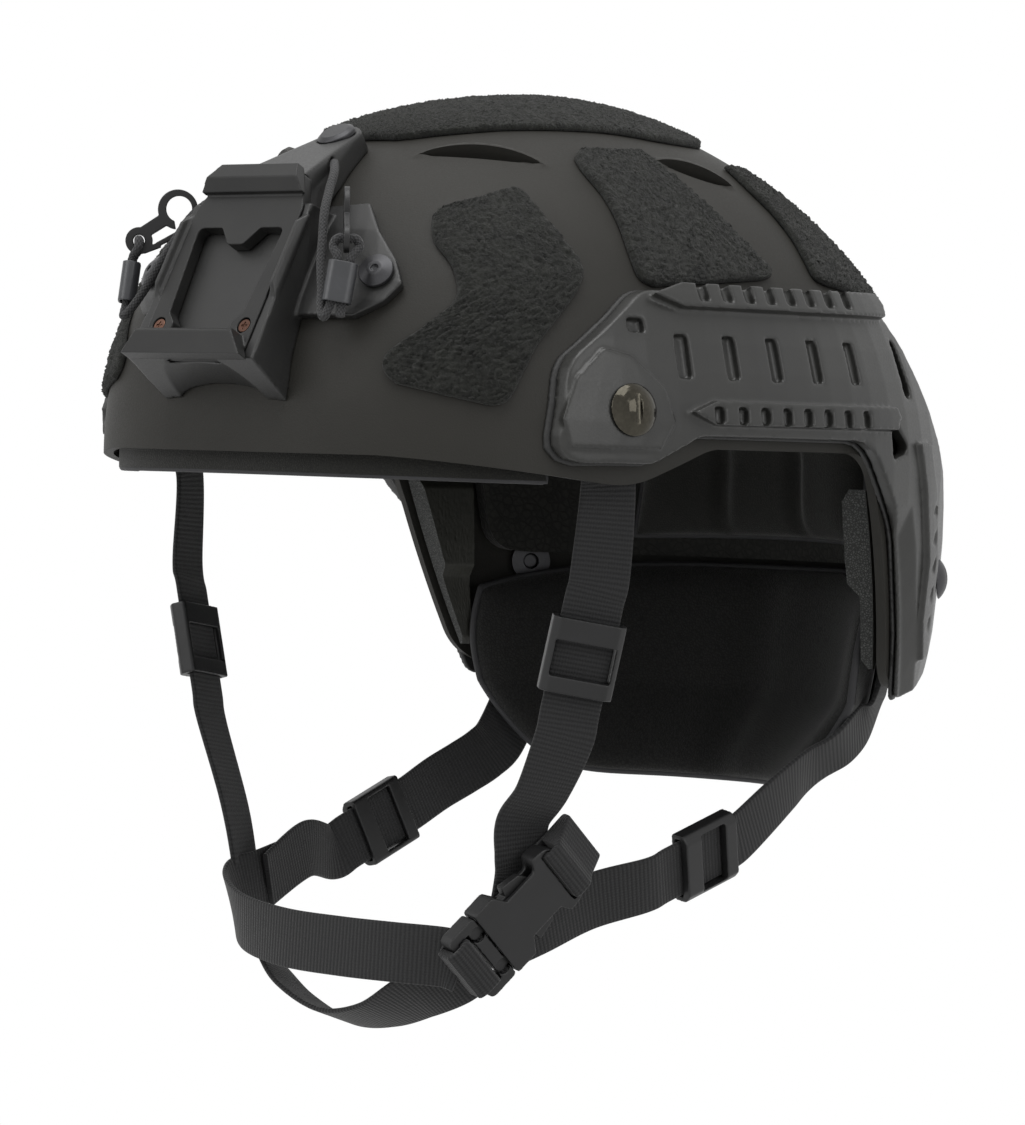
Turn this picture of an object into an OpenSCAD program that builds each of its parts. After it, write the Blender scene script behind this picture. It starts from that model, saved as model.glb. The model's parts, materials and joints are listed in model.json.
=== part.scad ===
// Combat helmet: moulded shell, side rails, front device mount, fit dial and four-point chin strap.
// Millimetres. +Z is up, the wearer faces -Y and the wearer's left is +X.
// The origin is the head seat: on the crown's axis, level with the front brim.
// A place on the skin is a bearing in degrees (0 left ear, 90 back, -90 front) and a height.

/* [Shell] */
// Width of the bare shell over the ears
shell_w = 226; // [219:1:233]
// Length from the crown axis to the front of the shell
shell_front = 145.5; // [142:0.5:149]
// Length from the crown axis to the back of the shell
shell_back = 142.5; // [139:0.5:146]
// Height of the crown above the front brim
crown_h = 117.6; // [114:0.2:121]
// Thickness of the shell wall
shell_wall = 3.2; // [2.8:0.1:4]
// Squareness of the front half in plan, where 2 is an ellipse
front_plan = 2.7; // [2.55:0.05:2.8]
// Squareness of the back half in plan
back_plan = 2.25; // [2.15:0.05:2.35]
// Fullness of the forehead from brim to crown
front_round = 2.19; // [2.1:0.01:2.25]
// Fullness of the back from brim to crown
back_round = 1.72; // [1.68:0.01:1.8]
// How much narrower the shell is at the foot of its sides, as a share
side_taper = 0.058; // [0.04:0.002:0.07]

/* [Shell edge] */
// Dip of the brim at the temples
temple_dip = 8; // [5:0.5:10]
// Place of the temple dip, in front of the crown axis
temple_y = 72; // [69:0.5:75]
// Height of the ear cut above the brim
arch_h = 4.8; // [3:0.1:6]
// Front of the ear cut, in front of the crown axis
arch_front = 40; // [38:0.5:42]
// Back of the ear cut, behind the crown axis
arch_back = 40; // [38:0.5:42]
// Slant of the edge behind the ear, over its full drop
arch_slant = 30; // [28:0.5:32]
// Depth of the shell edge below the brim behind the ears
drop_h = 80.5; // [78:0.5:82]
// Depth of the shell edge below the brim at the back
nape_h = 58; // [55:0.5:61]

/* [Vents] */
// Length of the front vent slots
front_vent_l = 40; // [36:0.5:42]
// Length of the side vent slots
side_vent_l = 33; // [30:0.5:35]
// Width of a vent slot at its middle
vent_w = 5.4; // [4.5:0.1:6.2]
// How far the hood over a vent stands up
vent_hood = 1.8; // [1.2:0.1:2.4]

/* [Rails] */
// Front end of a rail, in front of the crown axis
rail_nose = 103.8; // [102:0.2:105]
// Top edge of a rail above the brim
rail_top = 57; // [56:0.2:57.6]
// Distance of a rail's lower edge above the ear cut
rail_margin = 3.9; // [3.4:0.1:4.4]
// Thickness of a rail's plate
rail_plate = 4.6; // [4:0.1:5.2]
// Height of the toothed ribs above the plate
rib_h = 3.4; // [2.8:0.1:4]
// Pitch of the accessory slots
slot_pitch = 20; // [19:0.25:20.5]
// Width of an accessory slot
slot_w = 5.4; // [4.6:0.1:6]
// Height of an accessory slot
slot_h = 14; // [12:0.5:15]
// Height of the slot centres above the brim
slot_z = 31.8; // [31:0.2:32.6]
// Thickness of the rubber gasket under a rail
gasket_t = 1.4; // [1.2:0.1:1.8]

/* [Fasteners] */
// Shank diameter of the shell bolts
bolt_d = 5; // [4.6:0.1:5.4]
// Head diameter of the rail bolts
rail_bolt_head = 16.6; // [15.4:0.2:17.4]
// Head diameter of the front mount's bolts
mount_bolt_head = 12.4; // [11.4:0.2:13]
// Diameter of the nuts inside the shell
nut_d = 14; // [13:0.5:15]

/* [Front mount] */
// Height of the mount's face centre above the brim
mount_z = 53; // [52:0.5:54]
// Reach of the mount's face centre in front of the bare shell's front
mount_reach = 2; // [1:0.5:3]
// Lean of the mount's face from the vertical
mount_lean = 28; // [27.4:0.2:28.6]
// Width of the window for the device arm
window_w = 38; // [36:0.5:39]
// Height of the window for the device arm
window_h = 39; // [37:0.5:39.5]
// Thickness of the insert plate
insert_t = 4; // [3.6:0.1:4.6]

/* [Bungees] */
// Diameter of the elastic cord
cord_d = 3; // [2.6:0.1:3.2]
// Thickness of the hook plate
hook_t = 1.8; // [1.5:0.1:2.1]

/* [Liner] */
// Thickness of the rigid foam inside the shell
foam_t = 9; // [8:0.5:10]
// Thickness of the liner pads
pad_t = 12; // [10:0.5:14]
// Thickness of the brow pad
brow_t = 14; // [12:0.5:16]
// Thickness of the nape pad
nape_t = 12; // [10:0.5:13]
// Depth of the nape pad's lower edge below the brim
nape_pad_low = 108; // [104:0.5:112]

/* [Fit dial] */
// Diameter of the dial knob
dial_d = 31; // [28:0.5:34]
// Height of the dial knob
dial_h = 9; // [7:0.5:11]
// Grips around the dial knob
dial_grips = 16; // [12:1:20]
// Travel of the nape yoke from open to tight
yoke_travel = 9; // [7:0.5:10]

/* [Straps] */
// Width of the webbing
web_w = 19; // [18:0.25:19.5]
// Thickness of the webbing
web_t = 1.6; // [1.3:0.1:1.8]
// Length of a ladder lock
lock_l = 24; // [22:0.5:26]
// Width of a ladder lock
lock_w = 23.6; // [22.8:0.2:25]
// Overall width of the buckle
buckle_w = 26; // [25:0.5:27.5]
// Thickness of the buckle
buckle_t = 7.4; // [7:0.1:8.4]

/* [Clearances] */
// Gap between pieces that rest on each other
seat = 0.3; // [0.25:0.05:0.4]
// Gap around pieces that slide or turn
run = 0.35; // [0.3:0.05:0.45]
// Further room for the flats of the curved skin
flats = 0.45; // [0.4:0.05:0.6]

/* [Hidden] */
$fn = 32;

half_w = shell_w / 2;
bore_d = bolt_d + 2 * run;

// Small helpers for vectors and lists
function unit(v) = v / norm(v);
function side_of(v) = v < 0 ? -1 : 1;
function flat(rows) = [for (row = rows) for (p = row) p];
function reversed(a) = [for (i = [len(a) - 1:-1:0]) a[i]];
function mirrored_x(p) = [-p[0], p[1], p[2]];

// The skin is a superellipse in plan, drawn in towards the crown by a second one
function reach_at(s) = s < 0 ? shell_front : shell_back;
function plan_at(s) = s < 0 ? front_plan : back_plan;
function rise_at(s) = (front_round + back_round) / 2 - s * (front_round - back_round) / 2;
function ring_at(b) = let (n = plan_at(sin(b))) pow(pow(abs(cos(b)), n) + pow(abs(sin(b)), n), -1 / n);
function draw_in(s, z) =
    let (n = rise_at(s), l = min(1, max(0, z) / crown_h))
    z < 0 ? 1 - side_taper * pow(z / drop_h, 2) : pow(1 - pow(l, n), 1 / n);
function skin(b, z) =
    let (r = ring_at(b) * draw_in(sin(b), z))
    [half_w * r * cos(b), reach_at(sin(b)) * r * sin(b), z];
function skin_normal(b, z) =
    let (n = rise_at(sin(b)), m = plan_at(sin(b)), k = max(0.001, min(1, draw_in(sin(b), z))),
        l = max(0, z) / crown_h, u = k * ring_at(b) * cos(b), v = k * ring_at(b) * sin(b), q = pow(k, n - m),
        g = [q * side_of(u) * pow(abs(u), m - 1) / half_w,
            q * side_of(v) * pow(abs(v), m - 1) / reach_at(v),
            pow(l, n - 1) / crown_h])
    unit(g);
// A point at a distance outside the skin, or inside it where the distance is negative
function lay(b, z, off) = skin(b, z) + skin_normal(b, z) * off;
// The bearing at which the skin passes a given place along Y, at the brim or at a height above it
function bearing_at(y, z = 0) =
    let (v = y / reach_at(y) / draw_in(y / reach_at(y), z), m = plan_at(y),
        c = max(0, 1 - pow(abs(v), m)))
    atan2(v, pow(c, 1 / m));
// The same for a place in plan near the crown
function plan_bearing(x, y) = atan2(y / reach_at(y), x / half_w);
function plan_height(x, y) =
    let (b = plan_bearing(x, y), n = rise_at(sin(b)), m = plan_at(y),
        k = pow(pow(abs(x) / half_w, m) + pow(abs(y) / reach_at(y), m), 1 / m))
    crown_h * pow(1 - pow(k, n), 1 / n);
function crown_lay(x, y, off) = lay(plan_bearing(x, y), plan_height(x, y), off);

// Paths with rounded corners, each corner given as [along, up, radius]
function turn_of(a) = a > 180 ? a - 360 : a < -180 ? a + 360 : a;
function round_corner(a, p, b, n) =
    let (o = [p[0], p[1]], u = unit([a[0], a[1]] - o), v = unit([b[0], b[1]] - o),
        half = acos(max(-1, min(1, u * v))) / 2, r = p[2],
        c = o + unit(u + v) * r / sin(half), s = o + u * r / tan(half) - c, e = o + v * r / tan(half) - c,
        from = atan2(s[1], s[0]), sweep = turn_of(atan2(e[1], e[0]) - from))
    [for (i = [0:n]) c + r * [cos(from + sweep * i / n), sin(from + sweep * i / n)]];
function rounded(path, n = 4) =
    let (m = len(path))
    [for (i = [0:m - 1]) each path[i][2] > 0
        ? round_corner(path[(i + m - 1) % m], path[i], path[(i + 1) % m], n)
        : [[path[i][0], path[i][1]]]];
// A closed path, drawn anticlockwise, moved outwards by d with its corners kept
function edge_out(a, b) = let (d = unit([b[0] - a[0], b[1] - a[1]])) [d[1], -d[0]];
function grown(path, d) =
    let (m = len(path))
    [for (i = [0:m - 1])
        let (n0 = edge_out(path[(i + m - 1) % m], path[i]), n1 = edge_out(path[i], path[(i + 1) % m]),
            move = (n0 + n1) * d / (1 + n0 * n1))
        [path[i][0] + move[0], path[i][1] + move[1], max(0.4, path[i][2] + (d > 0 ? d : d / 2))]];

// Closed solid between two grids of points. Rows go up and columns go anticlockwise seen from outside.
module slab(outer, inner) {
    rows = len(outer);
    cols = len(outer[0]);
    total = rows * cols;
    edge = concat([for (j = [0:cols - 1]) j], [for (i = [1:rows - 1]) i * cols + cols - 1],
        [for (j = [cols - 2:-1:0]) (rows - 1) * cols + j], [for (i = [rows - 2:-1:1]) i * cols]);
    faces = [for (i = [0:rows - 2]) for (j = [0:cols - 2])
        let (a = i * cols + j, b = a + 1, d = a + cols, c = d + 1)
        each [[a, d, c], [a, c, b], [a + total, b + total, c + total], [a + total, c + total, d + total]]];
    walls = [for (k = [0:len(edge) - 1])
        let (p = edge[k], q = edge[(k + 1) % len(edge)])
        each [[p, q, q + total], [p, q + total, p + total]]];
    polyhedron(concat(flat(outer), flat(inner)), concat(faces, walls));
}

// Slab that follows the skin between two bearings, at the given heights
module skin_slab(b0, b1, steps, heights, low, high) {
    slab([for (z = heights) [for (j = [0:steps]) lay(b0 + (b1 - b0) * j / steps, z, high)]],
        [for (z = heights) [for (j = [0:steps]) lay(b0 + (b1 - b0) * j / steps, z, low)]]);
}

// Patch on the skin between a front edge and a back edge, each a list of [bearing, height] from low to high
module skin_patch(front, back, steps, low, high) {
    grid = [for (i = [0:len(front) - 1]) [for (j = [0:steps])
        front[i] + (back[i] - front[i]) * j / steps]];
    slab([for (row = grid) [for (q = row) lay(q[0], q[1], high)]],
        [for (row = grid) [for (q = row) lay(q[0], q[1], low)]]);
}

// Stands children on the skin, with Z along the outward normal and Y up the skin
module on_skin(b, z, off = 0) {
    n = skin_normal(b, z);
    translate(lay(b, z, off))
        rotate([0, 0, atan2(n[1], n[0])])
        rotate([0, acos(n[2]), 0])
        rotate([0, 0, 90])
        children();
}

// Extrudes a side outline, drawn along Y and up, through the left half of the helmet
module side_prism(path) {
    translate([half_w / 3, 0, 0])
        rotate([90, 0, 90])
        linear_extrude(half_w) polygon(path);
}

// Smooth path through rows of numbers
function spline(rows, steps) =
    let (m = len(rows))
    concat([for (i = [0:m - 2]) for (k = [0:steps - 1])
        let (t = k / steps, a = rows[max(0, i - 1)], b = rows[i], c = rows[i + 1],
            d = rows[min(m - 1, i + 2)])
        0.5 * (2 * b + (c - a) * t + (2 * a - 5 * b + 4 * c - d) * t * t
            + (3 * b - a - 3 * c + d) * t * t * t)],
        [rows[m - 1]]);
function place(row) = [row[0], row[1], row[2]];
function facing(row) = [row[3], row[4], row[5]];
function along(path, i) = unit(place(path[min(len(path) - 1, i + 1)]) - place(path[max(0, i - 1)]));

// Solid swept through rings that have equal numbers of points
module skin_of_rings(rings) {
    n = len(rings[0]);
    last = (len(rings) - 1) * n;
    sides = [for (i = [0:len(rings) - 2]) for (j = [0:n - 1])
        let (a = i * n + j, b = i * n + (j + 1) % n)
        each [[a, a + n, b + n], [a, b + n, b]]];
    first_cap = [for (j = [1:n - 2]) [0, j, j + 1]];
    last_cap = [for (j = [1:n - 2]) [last, last + j + 1, last + j]];
    polyhedron(flat(rings), concat(sides, first_cap, last_cap));
}

// Flat webbing along rows of [x, y, z, outward x, y, z]
module webbing(rows, steps, w = web_w, t = web_t) {
    path = spline(rows, steps);
    rings = [for (i = [0:len(path) - 1])
        let (d = along(path, i), f = facing(path[i]), n = unit(f - d * (f * d)), a = cross(d, n),
            p = place(path[i]))
        [p - a * w / 2 - n * t / 2, p - a * w / 2 + n * t / 2, p + a * w / 2 + n * t / 2,
            p + a * w / 2 - n * t / 2]];
    skin_of_rings(rings);
}

// Round cord through a list of points, its section carried along without twist
function carried(path, i, start) =
    i == 0 ? unit(start - along(path, 0) * (start * along(path, 0)))
        : let (n = carried(path, i - 1, start), d = along(path, i)) unit(n - d * (n * d));
module cord(points, steps, d, start) {
    path = spline(points, steps);
    rings = [for (i = [0:len(path) - 1])
        let (t = along(path, i), n = carried(path, i, start), a = cross(t, n))
        [for (k = [0:7]) path[i] + d / 2 * (n * cos(-45 * k) + a * sin(-45 * k))]];
    skin_of_rings(rings);
}

// Shell edge

// One half of the edge, from the front to the back round the wearer's left, as [bearing, height]
tip_y = arch_back + arch_slant;
brim_flat = 10;
brim_slope = temple_dip / (shell_front - brim_flat - temple_y);
function brim_height(y) = -max(0, y + shell_front - brim_flat) * brim_slope;
function nape_height(y) =
    let (u = min(1, max(0, (y - tip_y) / (shell_back - tip_y))))
    -drop_h + (drop_h - nape_h) * (1 - (1 - u) * (1 - u));
fore_y = temple_y + 14;
aft_y = tip_y + 16;
ear_corners = [[-fore_y, brim_height(-fore_y), 0], [-temple_y, -temple_dip, 34], [-arch_front, arch_h, 26],
    [arch_back, arch_h, 16], [arch_back + arch_slant * 0.3, -drop_h * 0.22, 50], [tip_y, -drop_h, 17],
    [aft_y, nape_height(aft_y), 0]];
ear_path = rounded(ear_corners, 2);
// The straight runs of an edge are divided so that no flat of the dome is long
function divided(path, step) = [for (i = [0:len(path) - 1])
    let (p = path[i], q = path[min(len(path) - 1, i + 1)],
        n = max(1, ceil(abs(bearing_at(q[0]) - bearing_at(p[0])) / step)))
    each [for (k = [0:n - 1]) p + (q - p) * k / n]];
function bearings_of(path) = [for (p = path) [bearing_at(p[0], p[1]), p[1]]];
half_edge = concat(
    [for (i = [0:8]) let (b = -90 + (bearing_at(-fore_y) + 90) * i / 9) [b, brim_height(skin(b, 0)[1])]],
    bearings_of(divided(ear_path, 6)),
    [for (i = [1:7]) let (b = bearing_at(aft_y) + (90 - bearing_at(aft_y)) * i / 7)
        [b, nape_height(skin(b, 0)[1])]]);
function whole_edge(half) = concat(half,
    [for (i = [len(half) - 2:-1:1]) [180 - half[i][0], half[i][1]]]);

// Domed layer above an edge. Its columns fan out from the edge to evenly spaced bearings at the crown,
// and its second row is just above the edge.
module dome_layer(edge, rows, high, low) {
    cols = len(edge);
    total = rows * cols + 1;
    function spot(i, j) =
        let (t = max(0, i - 1) / (rows - 1), foot = max(edge[j][1] + 1.5, 0.5),
            b = edge[j][0] + (-90 + 360 * j / cols - edge[j][0]) * t)
        [b, i == 0 ? edge[j][1] : foot + (crown_h - foot) * sin(90 * t)];
    function layer(off) = concat([for (i = [0:rows - 1]) for (j = [0:cols - 1])
        lay(spot(i, j)[0], spot(i, j)[1], off)], [[0, 0, crown_h + off]]);
    sides = [for (i = [0:rows - 2]) for (j = [0:cols - 1])
        let (a = i * cols + j, b = i * cols + (j + 1) % cols, d = a + cols, c = b + cols)
        each [[a, d, c], [a, c, b], [a + total, b + total, c + total], [a + total, c + total, d + total]]];
    cap = [for (j = [0:cols - 1])
        let (a = (rows - 1) * cols + j, b = (rows - 1) * cols + (j + 1) % cols, top = rows * cols)
        each [[a, top, b], [a + total, b + total, top + total]]];
    rim = [for (j = [0:cols - 1])
        let (p = j, q = (j + 1) % cols)
        each [[p, q, q + total], [p, q + total, p + total]]];
    polyhedron(concat(layer(high), layer(low)), concat(sides, cap, rim));
}

// Vents: a lens-shaped slot under a raised hood
vent_spots = [[-53.5, 95.6, -3, front_vent_l], [-0.5, 93.6, -15, side_vent_l]];
module lens(l, w, h) {
    r = (l * l / 4 + w * w / 4) / w;
    intersection_for (s = [-1, 1])
        translate([0, s * (r - w / 2), 0])
        cylinder(h = h, r = r, center = true, $fn = 96);
}
module vent_cut(v) on_skin(v[0], v[1]) rotate(v[2]) lens(v[3], vent_w, 50);
module vent_hood_ring(v) on_skin(v[0], v[1]) rotate(v[2])
    difference() {
        translate([0, vent_w * 0.16, -1]) lens(v[3] * 1.12, vent_w * 1.75, 2 * vent_hood + 2);
        translate([0, -vent_w * 0.3, 0]) lens(v[3] * 1.02, vent_w * 1.2, 4 * vent_hood + 4);
        translate([-v[3], -v[3] - vent_w * 0.2, -6]) cube([2 * v[3], v[3], 12]);
    }

// Bolt places on the skin, as [bearing, height]
rail_bolt_at = [-29.4, 15.2];
rear_bolt_at = [39.8, -36.3];
top_bolt_at = [-90, 94.5];
ear_bolt_at = [-63.6, 54.5];
side_bolts = [rail_bolt_at, rear_bolt_at, ear_bolt_at];
module bolt_bores(at, d = bore_d) on_skin(at[0], at[1]) cylinder(h = 30, d = d, center = true);

module both_sides() {
    children();
    mirror([1, 0, 0]) children();
}

module shell() color("#3b3b38")
    difference() {
        union() {
            dome_layer(whole_edge(half_edge), 11, 0, -shell_wall);
            both_sides() for (v = vent_spots) vent_hood_ring(v);
        }
        both_sides() for (v = vent_spots) vent_cut(v);
        both_sides() for (at = side_bolts) bolt_bores(at);
        bolt_bores(top_bolt_at);
    }

// Rails

// Side outline of a rail, anticlockwise as seen from the left, as [along, up, corner radius]
arch_run = arch_h + rail_margin;
// The leg of a rail runs down behind the shell's rear edge
leg_gap = 4.3;
function leg_front(z) = tip_y + leg_gap - (z + drop_h) / 0.78 / drop_h * arch_slant * 0.7;
rail_path = [
    [-rail_nose + 2, -0.8, 7], [-temple_y + 2.5, -0.4, 8], [-arch_front - 10.5, arch_run, 12],
    [arch_back - 8, arch_run, 16], [leg_front(-drop_h * 0.22), -drop_h * 0.22, 24],
    [leg_front(-drop_h + 4), -drop_h + 4, 3], [tip_y + 19, -drop_h + 9.5, 6], [tip_y + 36, -drop_h + 16, 11],
    [tip_y + 39, -32, 14], [tip_y + 26, -2, 16], [tip_y - 5, rail_top - 16, 12],
    [tip_y - 20, rail_top - 0.5, 8], [-65, rail_top - 3.4, 14], [-rail_nose + 8, 30.5, 14]];
rail_b0 = -45;
rail_b1 = 54;
rail_heights = [-drop_h - 3, -54, -24, 0, 9, 18, 27, 36, 45, rail_top + 3];
rail_low = gasket_t + 2 * seat;
rail_face = rail_low + rail_plate;
rib_face = rail_face + rib_h;
slot_first = -54.2;
slot_count = 5;
tooth_pitch = slot_pitch / 2;

// The front of the leg is thin at its lip and rises backwards
lip_face = rail_low + 1.4;
module leg_shave() {
    rows = [-drop_h - 5, -70, -58, -46, -34, -22, -10];
    steps = [-8, 1.2, 9];
    rise = [0, 0, 1];
    slab([for (z = rows) [for (y = steps) lay(bearing_at(leg_front(z) + y, z), z, rib_face + 6)]],
        [for (z = rows) [for (k = [0:2]) lay(bearing_at(leg_front(z) + steps[k], z), z,
            lip_face + (rail_face + 0.3 - lip_face) * max(rise[k], z > -11 ? 1 : 0))]]);
}

module rail_layer(low, high) skin_slab(rail_b0, rail_b1, 22, rail_heights, low, high);

// Rib that follows the skin between two heights, thinner at its nose
module rib(z0, z1, y0, y1) {
    zm = (z0 + z1) / 2;
    b0 = bearing_at(y0, zm);
    b1 = bearing_at(y1, zm);
    nose = (b1 - b0) * 0.09;
    skin_patch([[b0 + nose, z0], [b0, zm], [b0 + nose, z1]], [[b1, z0], [b1 + 1, zm], [b1, z1]], 14,
        rail_face - 1, rib_face);
}

// Radial block at a place along the rail, used for slots and tooth gaps
module rail_block(y, z, w, h, low, high) on_skin(bearing_at(y, z), z, (low + high) / 2)
    cube([w, h, high - low], center = true);

upper_rib_z = rail_top - 11.5;
lower_rib_z = arch_run + 2.8;
rib_w = 7;
module rail() color("#454545")
    difference() {
        union() {
            intersection() {
                rail_layer(rail_low, rail_face);
                side_prism(rounded(rail_path, 3));
            }
            // Raised field round the front bolt
            skin_patch([[-37, 4], [-38, 12], [-36.5, 24], [-33, 33]],
                [[-25.5, 4], [-23.5, 12], [-25, 22], [-29.5, 31]], 4, rail_face - 1, rail_face + 1.3);
            rib(upper_rib_z, upper_rib_z + rib_w, -62, tip_y - 20);
            rib(lower_rib_z, lower_rib_z + rib_w, -55, arch_back + 3.5);
            // Raised spine down the leg
            skin_patch([[31, -64], [30, -30], [27, -6], [25, 8]], [[36, -62], [35, -30], [31.5, -6], [29, 8]],
                3, rail_face - 1, rail_face + 1.8);
        }
        leg_shave();
        // Accessory slots
        for (k = [0:slot_count - 1])
            rail_block(slot_first + k * slot_pitch, slot_z, slot_w, slot_h, rail_low + 1.6, rib_face + 1);
        // Tooth gaps of the ribs
        for (k = [0:7]) {
            rail_block(-43 + k * tooth_pitch, upper_rib_z + rib_w * 0.62, 4.6, rib_w * 0.9, rail_face + 0.2,
                rib_face + 1);
            rail_block(-45 + k * tooth_pitch, lower_rib_z + rib_w * 0.4, 4.2, rib_w * 0.75, rail_face + 0.2,
                rib_face + 1);
        }
        // Latch notch beside the field
        rail_block(-69.5, 40.5, 6, 4.6, rail_low + 1.6, rib_face + 1);
        // Openings at the rear corner
        side_prism(rounded([[arch_back + 6, 3, 1.5], [arch_back + 18.5, 6, 2],
            [arch_back + 5.5, 18, 1.5]], 2));
        side_prism(rounded([[arch_back + 18.5, 24, 1.5], [arch_back + 24.5, 22.5, 1.5],
            [arch_back + 19.5, 41, 1.5], [arch_back + 16, 43, 1.2]], 2));
        // Triangular pockets down the spine
        for (k = [0:4])
            on_skin(31.2 + k * 0.5, -12 - k * 9.6, rail_face + 2.4)
                linear_extrude(3, center = true) polygon([[-2.4, -3], [2.6, -3], [2.6, 3.4]]);
        bolt_bores(rail_bolt_at);
        bolt_bores(rear_bolt_at);
    }
module rail_left() rail();
module rail_right() mirror([1, 0, 0]) rail();

// The gasket shows along the lower edge of its rail and lies flush at the top
module gasket() color("#161616")
    difference() {
        intersection() {
            rail_layer(seat, seat + gasket_t);
            side_prism(rounded(grown(rail_path, 0.9), 3));
            translate([0, 0, -0.9]) side_prism(rounded(grown(rail_path, 0.9), 3));
        }
        side_prism(rounded(grown(rail_path, -7), 3));
    }
module gasket_left() gasket();
module gasket_right() mirror([1, 0, 0]) gasket();

// Bolts: domed slotted heads outside, round nuts inside
module domed_bolt(at, base, head, dome) on_skin(at[0], at[1], base)
    difference() {
        union() {
            intersection() {
                cylinder(h = dome, d = head);
                translate([0, 0, dome - head * 0.72]) sphere(d = 1.44 * head, $fn = 48);
            }
            translate([0, 0, -base - shell_wall - 3]) cylinder(h = base + shell_wall + 3, d = bolt_d);
        }
        translate([0, 0, dome]) cube([head * 0.12, head, 2.2], center = true);
    }
module rail_front_bolts() color("#6d6a5f")
    both_sides() domed_bolt(rail_bolt_at, rail_face + 1.3 + seat, rail_bolt_head, 3.6);
module rail_rear_bolts() color("#6d6a5f")
    both_sides() domed_bolt(rear_bolt_at, rail_face + seat, rail_bolt_head * 0.8, 3);
module nut(at) on_skin(at[0], at[1], -shell_wall - seat - 3 * flats - 2.4)
    difference() {
        cylinder(h = 2.4, d = nut_d);
        translate([0, 0, -1]) cylinder(h = 5, d = bore_d);
    }
module shell_nuts() color("#26262a") {
    both_sides() for (at = side_bolts) nut(at);
    nut(top_bolt_at);
}

// Front device mount

// The mount's face: X across, Y up the face and Z out of it
module mount_frame() translate([0, -shell_front - mount_reach, mount_z])
    rotate([90 - mount_lean, 0, 0]) children();
face_w = 28;
face_low = -27.5;
face_high = 39;
insert_low = -27;
insert_high = 39;
insert_w = 23.5;
screw_at = [19, -16.1];
function trapezoid(low, high, w_low, w_high) =
    [[-w_low, low], [w_low, low], [w_high, high], [-w_high, high]];
// Window outline with its tongue
window_top = window_h / 2 - 0.5;
window_foot = -window_h / 2 - 0.5;
window_path = [
    [-window_w / 2 + 6, window_foot, 1.5], [window_w / 2 - 6, window_foot, 1.5],
    [window_w / 2 - 6, window_foot + 5, 1], [window_w / 2 - 2.6, window_foot + 8.5, 1.5],
    [window_w / 2, window_top, 2], [8.5, window_top, 1.5], [3.4, window_top - 6, 2],
    [-3.4, window_top - 6, 2], [-8.5, window_top, 1.5], [-window_w / 2, window_top, 2],
    [-window_w / 2 + 2.6, window_foot + 8.5, 1.5], [-window_w / 2 + 6, window_foot + 5, 1]];
insert_path = [[-insert_w, insert_low, 2], [insert_w, insert_low, 2], [insert_w, 26, 4],
    [17.5, insert_high, 2], [-17.5, insert_high, 2], [-insert_w, 26, 4]];

// The part of the helmet behind the mount, used to seat the mount on the skin
module front_of_shell() skin_slab(-118, -62, 16, [6, 18, 30, 42, 54, 66, 78, 88, 97, 105, 111], -46, seat);

module mount_ear() skin_patch(
    [[-76, 41.5], [-76, 47], [-76.5, 53.5], [-76.5, 60.5], [-77, 68], [-78, 75]],
    [[-66, 41.5], [-61.6, 46], [-59.4, 51.5], [-61.1, 58.5], [-65.5, 67.5], [-69.5, 76]], 5, seat, 3.8);

module shroud_frame() color("#2f2f30")
    difference() {
        union() {
            mount_frame() hull() {
                translate([0, 0, -1]) linear_extrude(1)
                    polygon(trapezoid(face_low, 28, face_w, face_w - 2));
                translate([0, 0, -24]) linear_extrude(1)
                    polygon(trapezoid(face_low - 4, 34, face_w - 1, face_w - 6));
            }
            // Upper arm that reaches the top bolt
            hull() {
                mount_frame() translate([0, 30, -9]) linear_extrude(8)
                    polygon(trapezoid(-6, 9, 20, 16.5));
                on_skin(top_bolt_at[0], top_bolt_at[1], 0) cylinder(h = 7, d = mount_bolt_head + 3.5);
            }
            // Side ridges beside the insert
            mount_frame() both_sides() hull() {
                translate([face_w - 3.4, -6, -1]) cube([2.6, 30, 1]);
                translate([face_w - 2.8, -2, 2.2]) cube([1, 22, 0.6]);
            }
            both_sides() mount_ear();
        }
        front_of_shell();
        // Pocket that seats the insert
        mount_frame() translate([0, 0, -insert_t]) linear_extrude(3 * insert_t)
            polygon(rounded(grown(insert_path, seat), 3));
        // Arched relief between the feet
        mount_frame() translate([0, face_low - 3.5, -8]) scale([1, 0.22, 1])
            cylinder(h = 30, r = 19, center = true, $fn = 48);
        // Holes for the cords beside the upper arm, and the seat of the top bolt's head
        both_sides() bar(bungee_rows[0] + (bungee_rows[0] - bungee_rows[1]) * 0.2, bungee_rows[1],
            cord_d + 2 * seat);
        on_skin(top_bolt_at[0], top_bolt_at[1], 7) cylinder(h = 20, d = mount_bolt_head + 2 * run);
        bolt_bores(top_bolt_at);
        both_sides() bolt_bores(ear_bolt_at);
        mount_frame() both_sides() translate([screw_at[0], screw_at[1], -9]) cylinder(h = 12, d = 2.8);
    }

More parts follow.
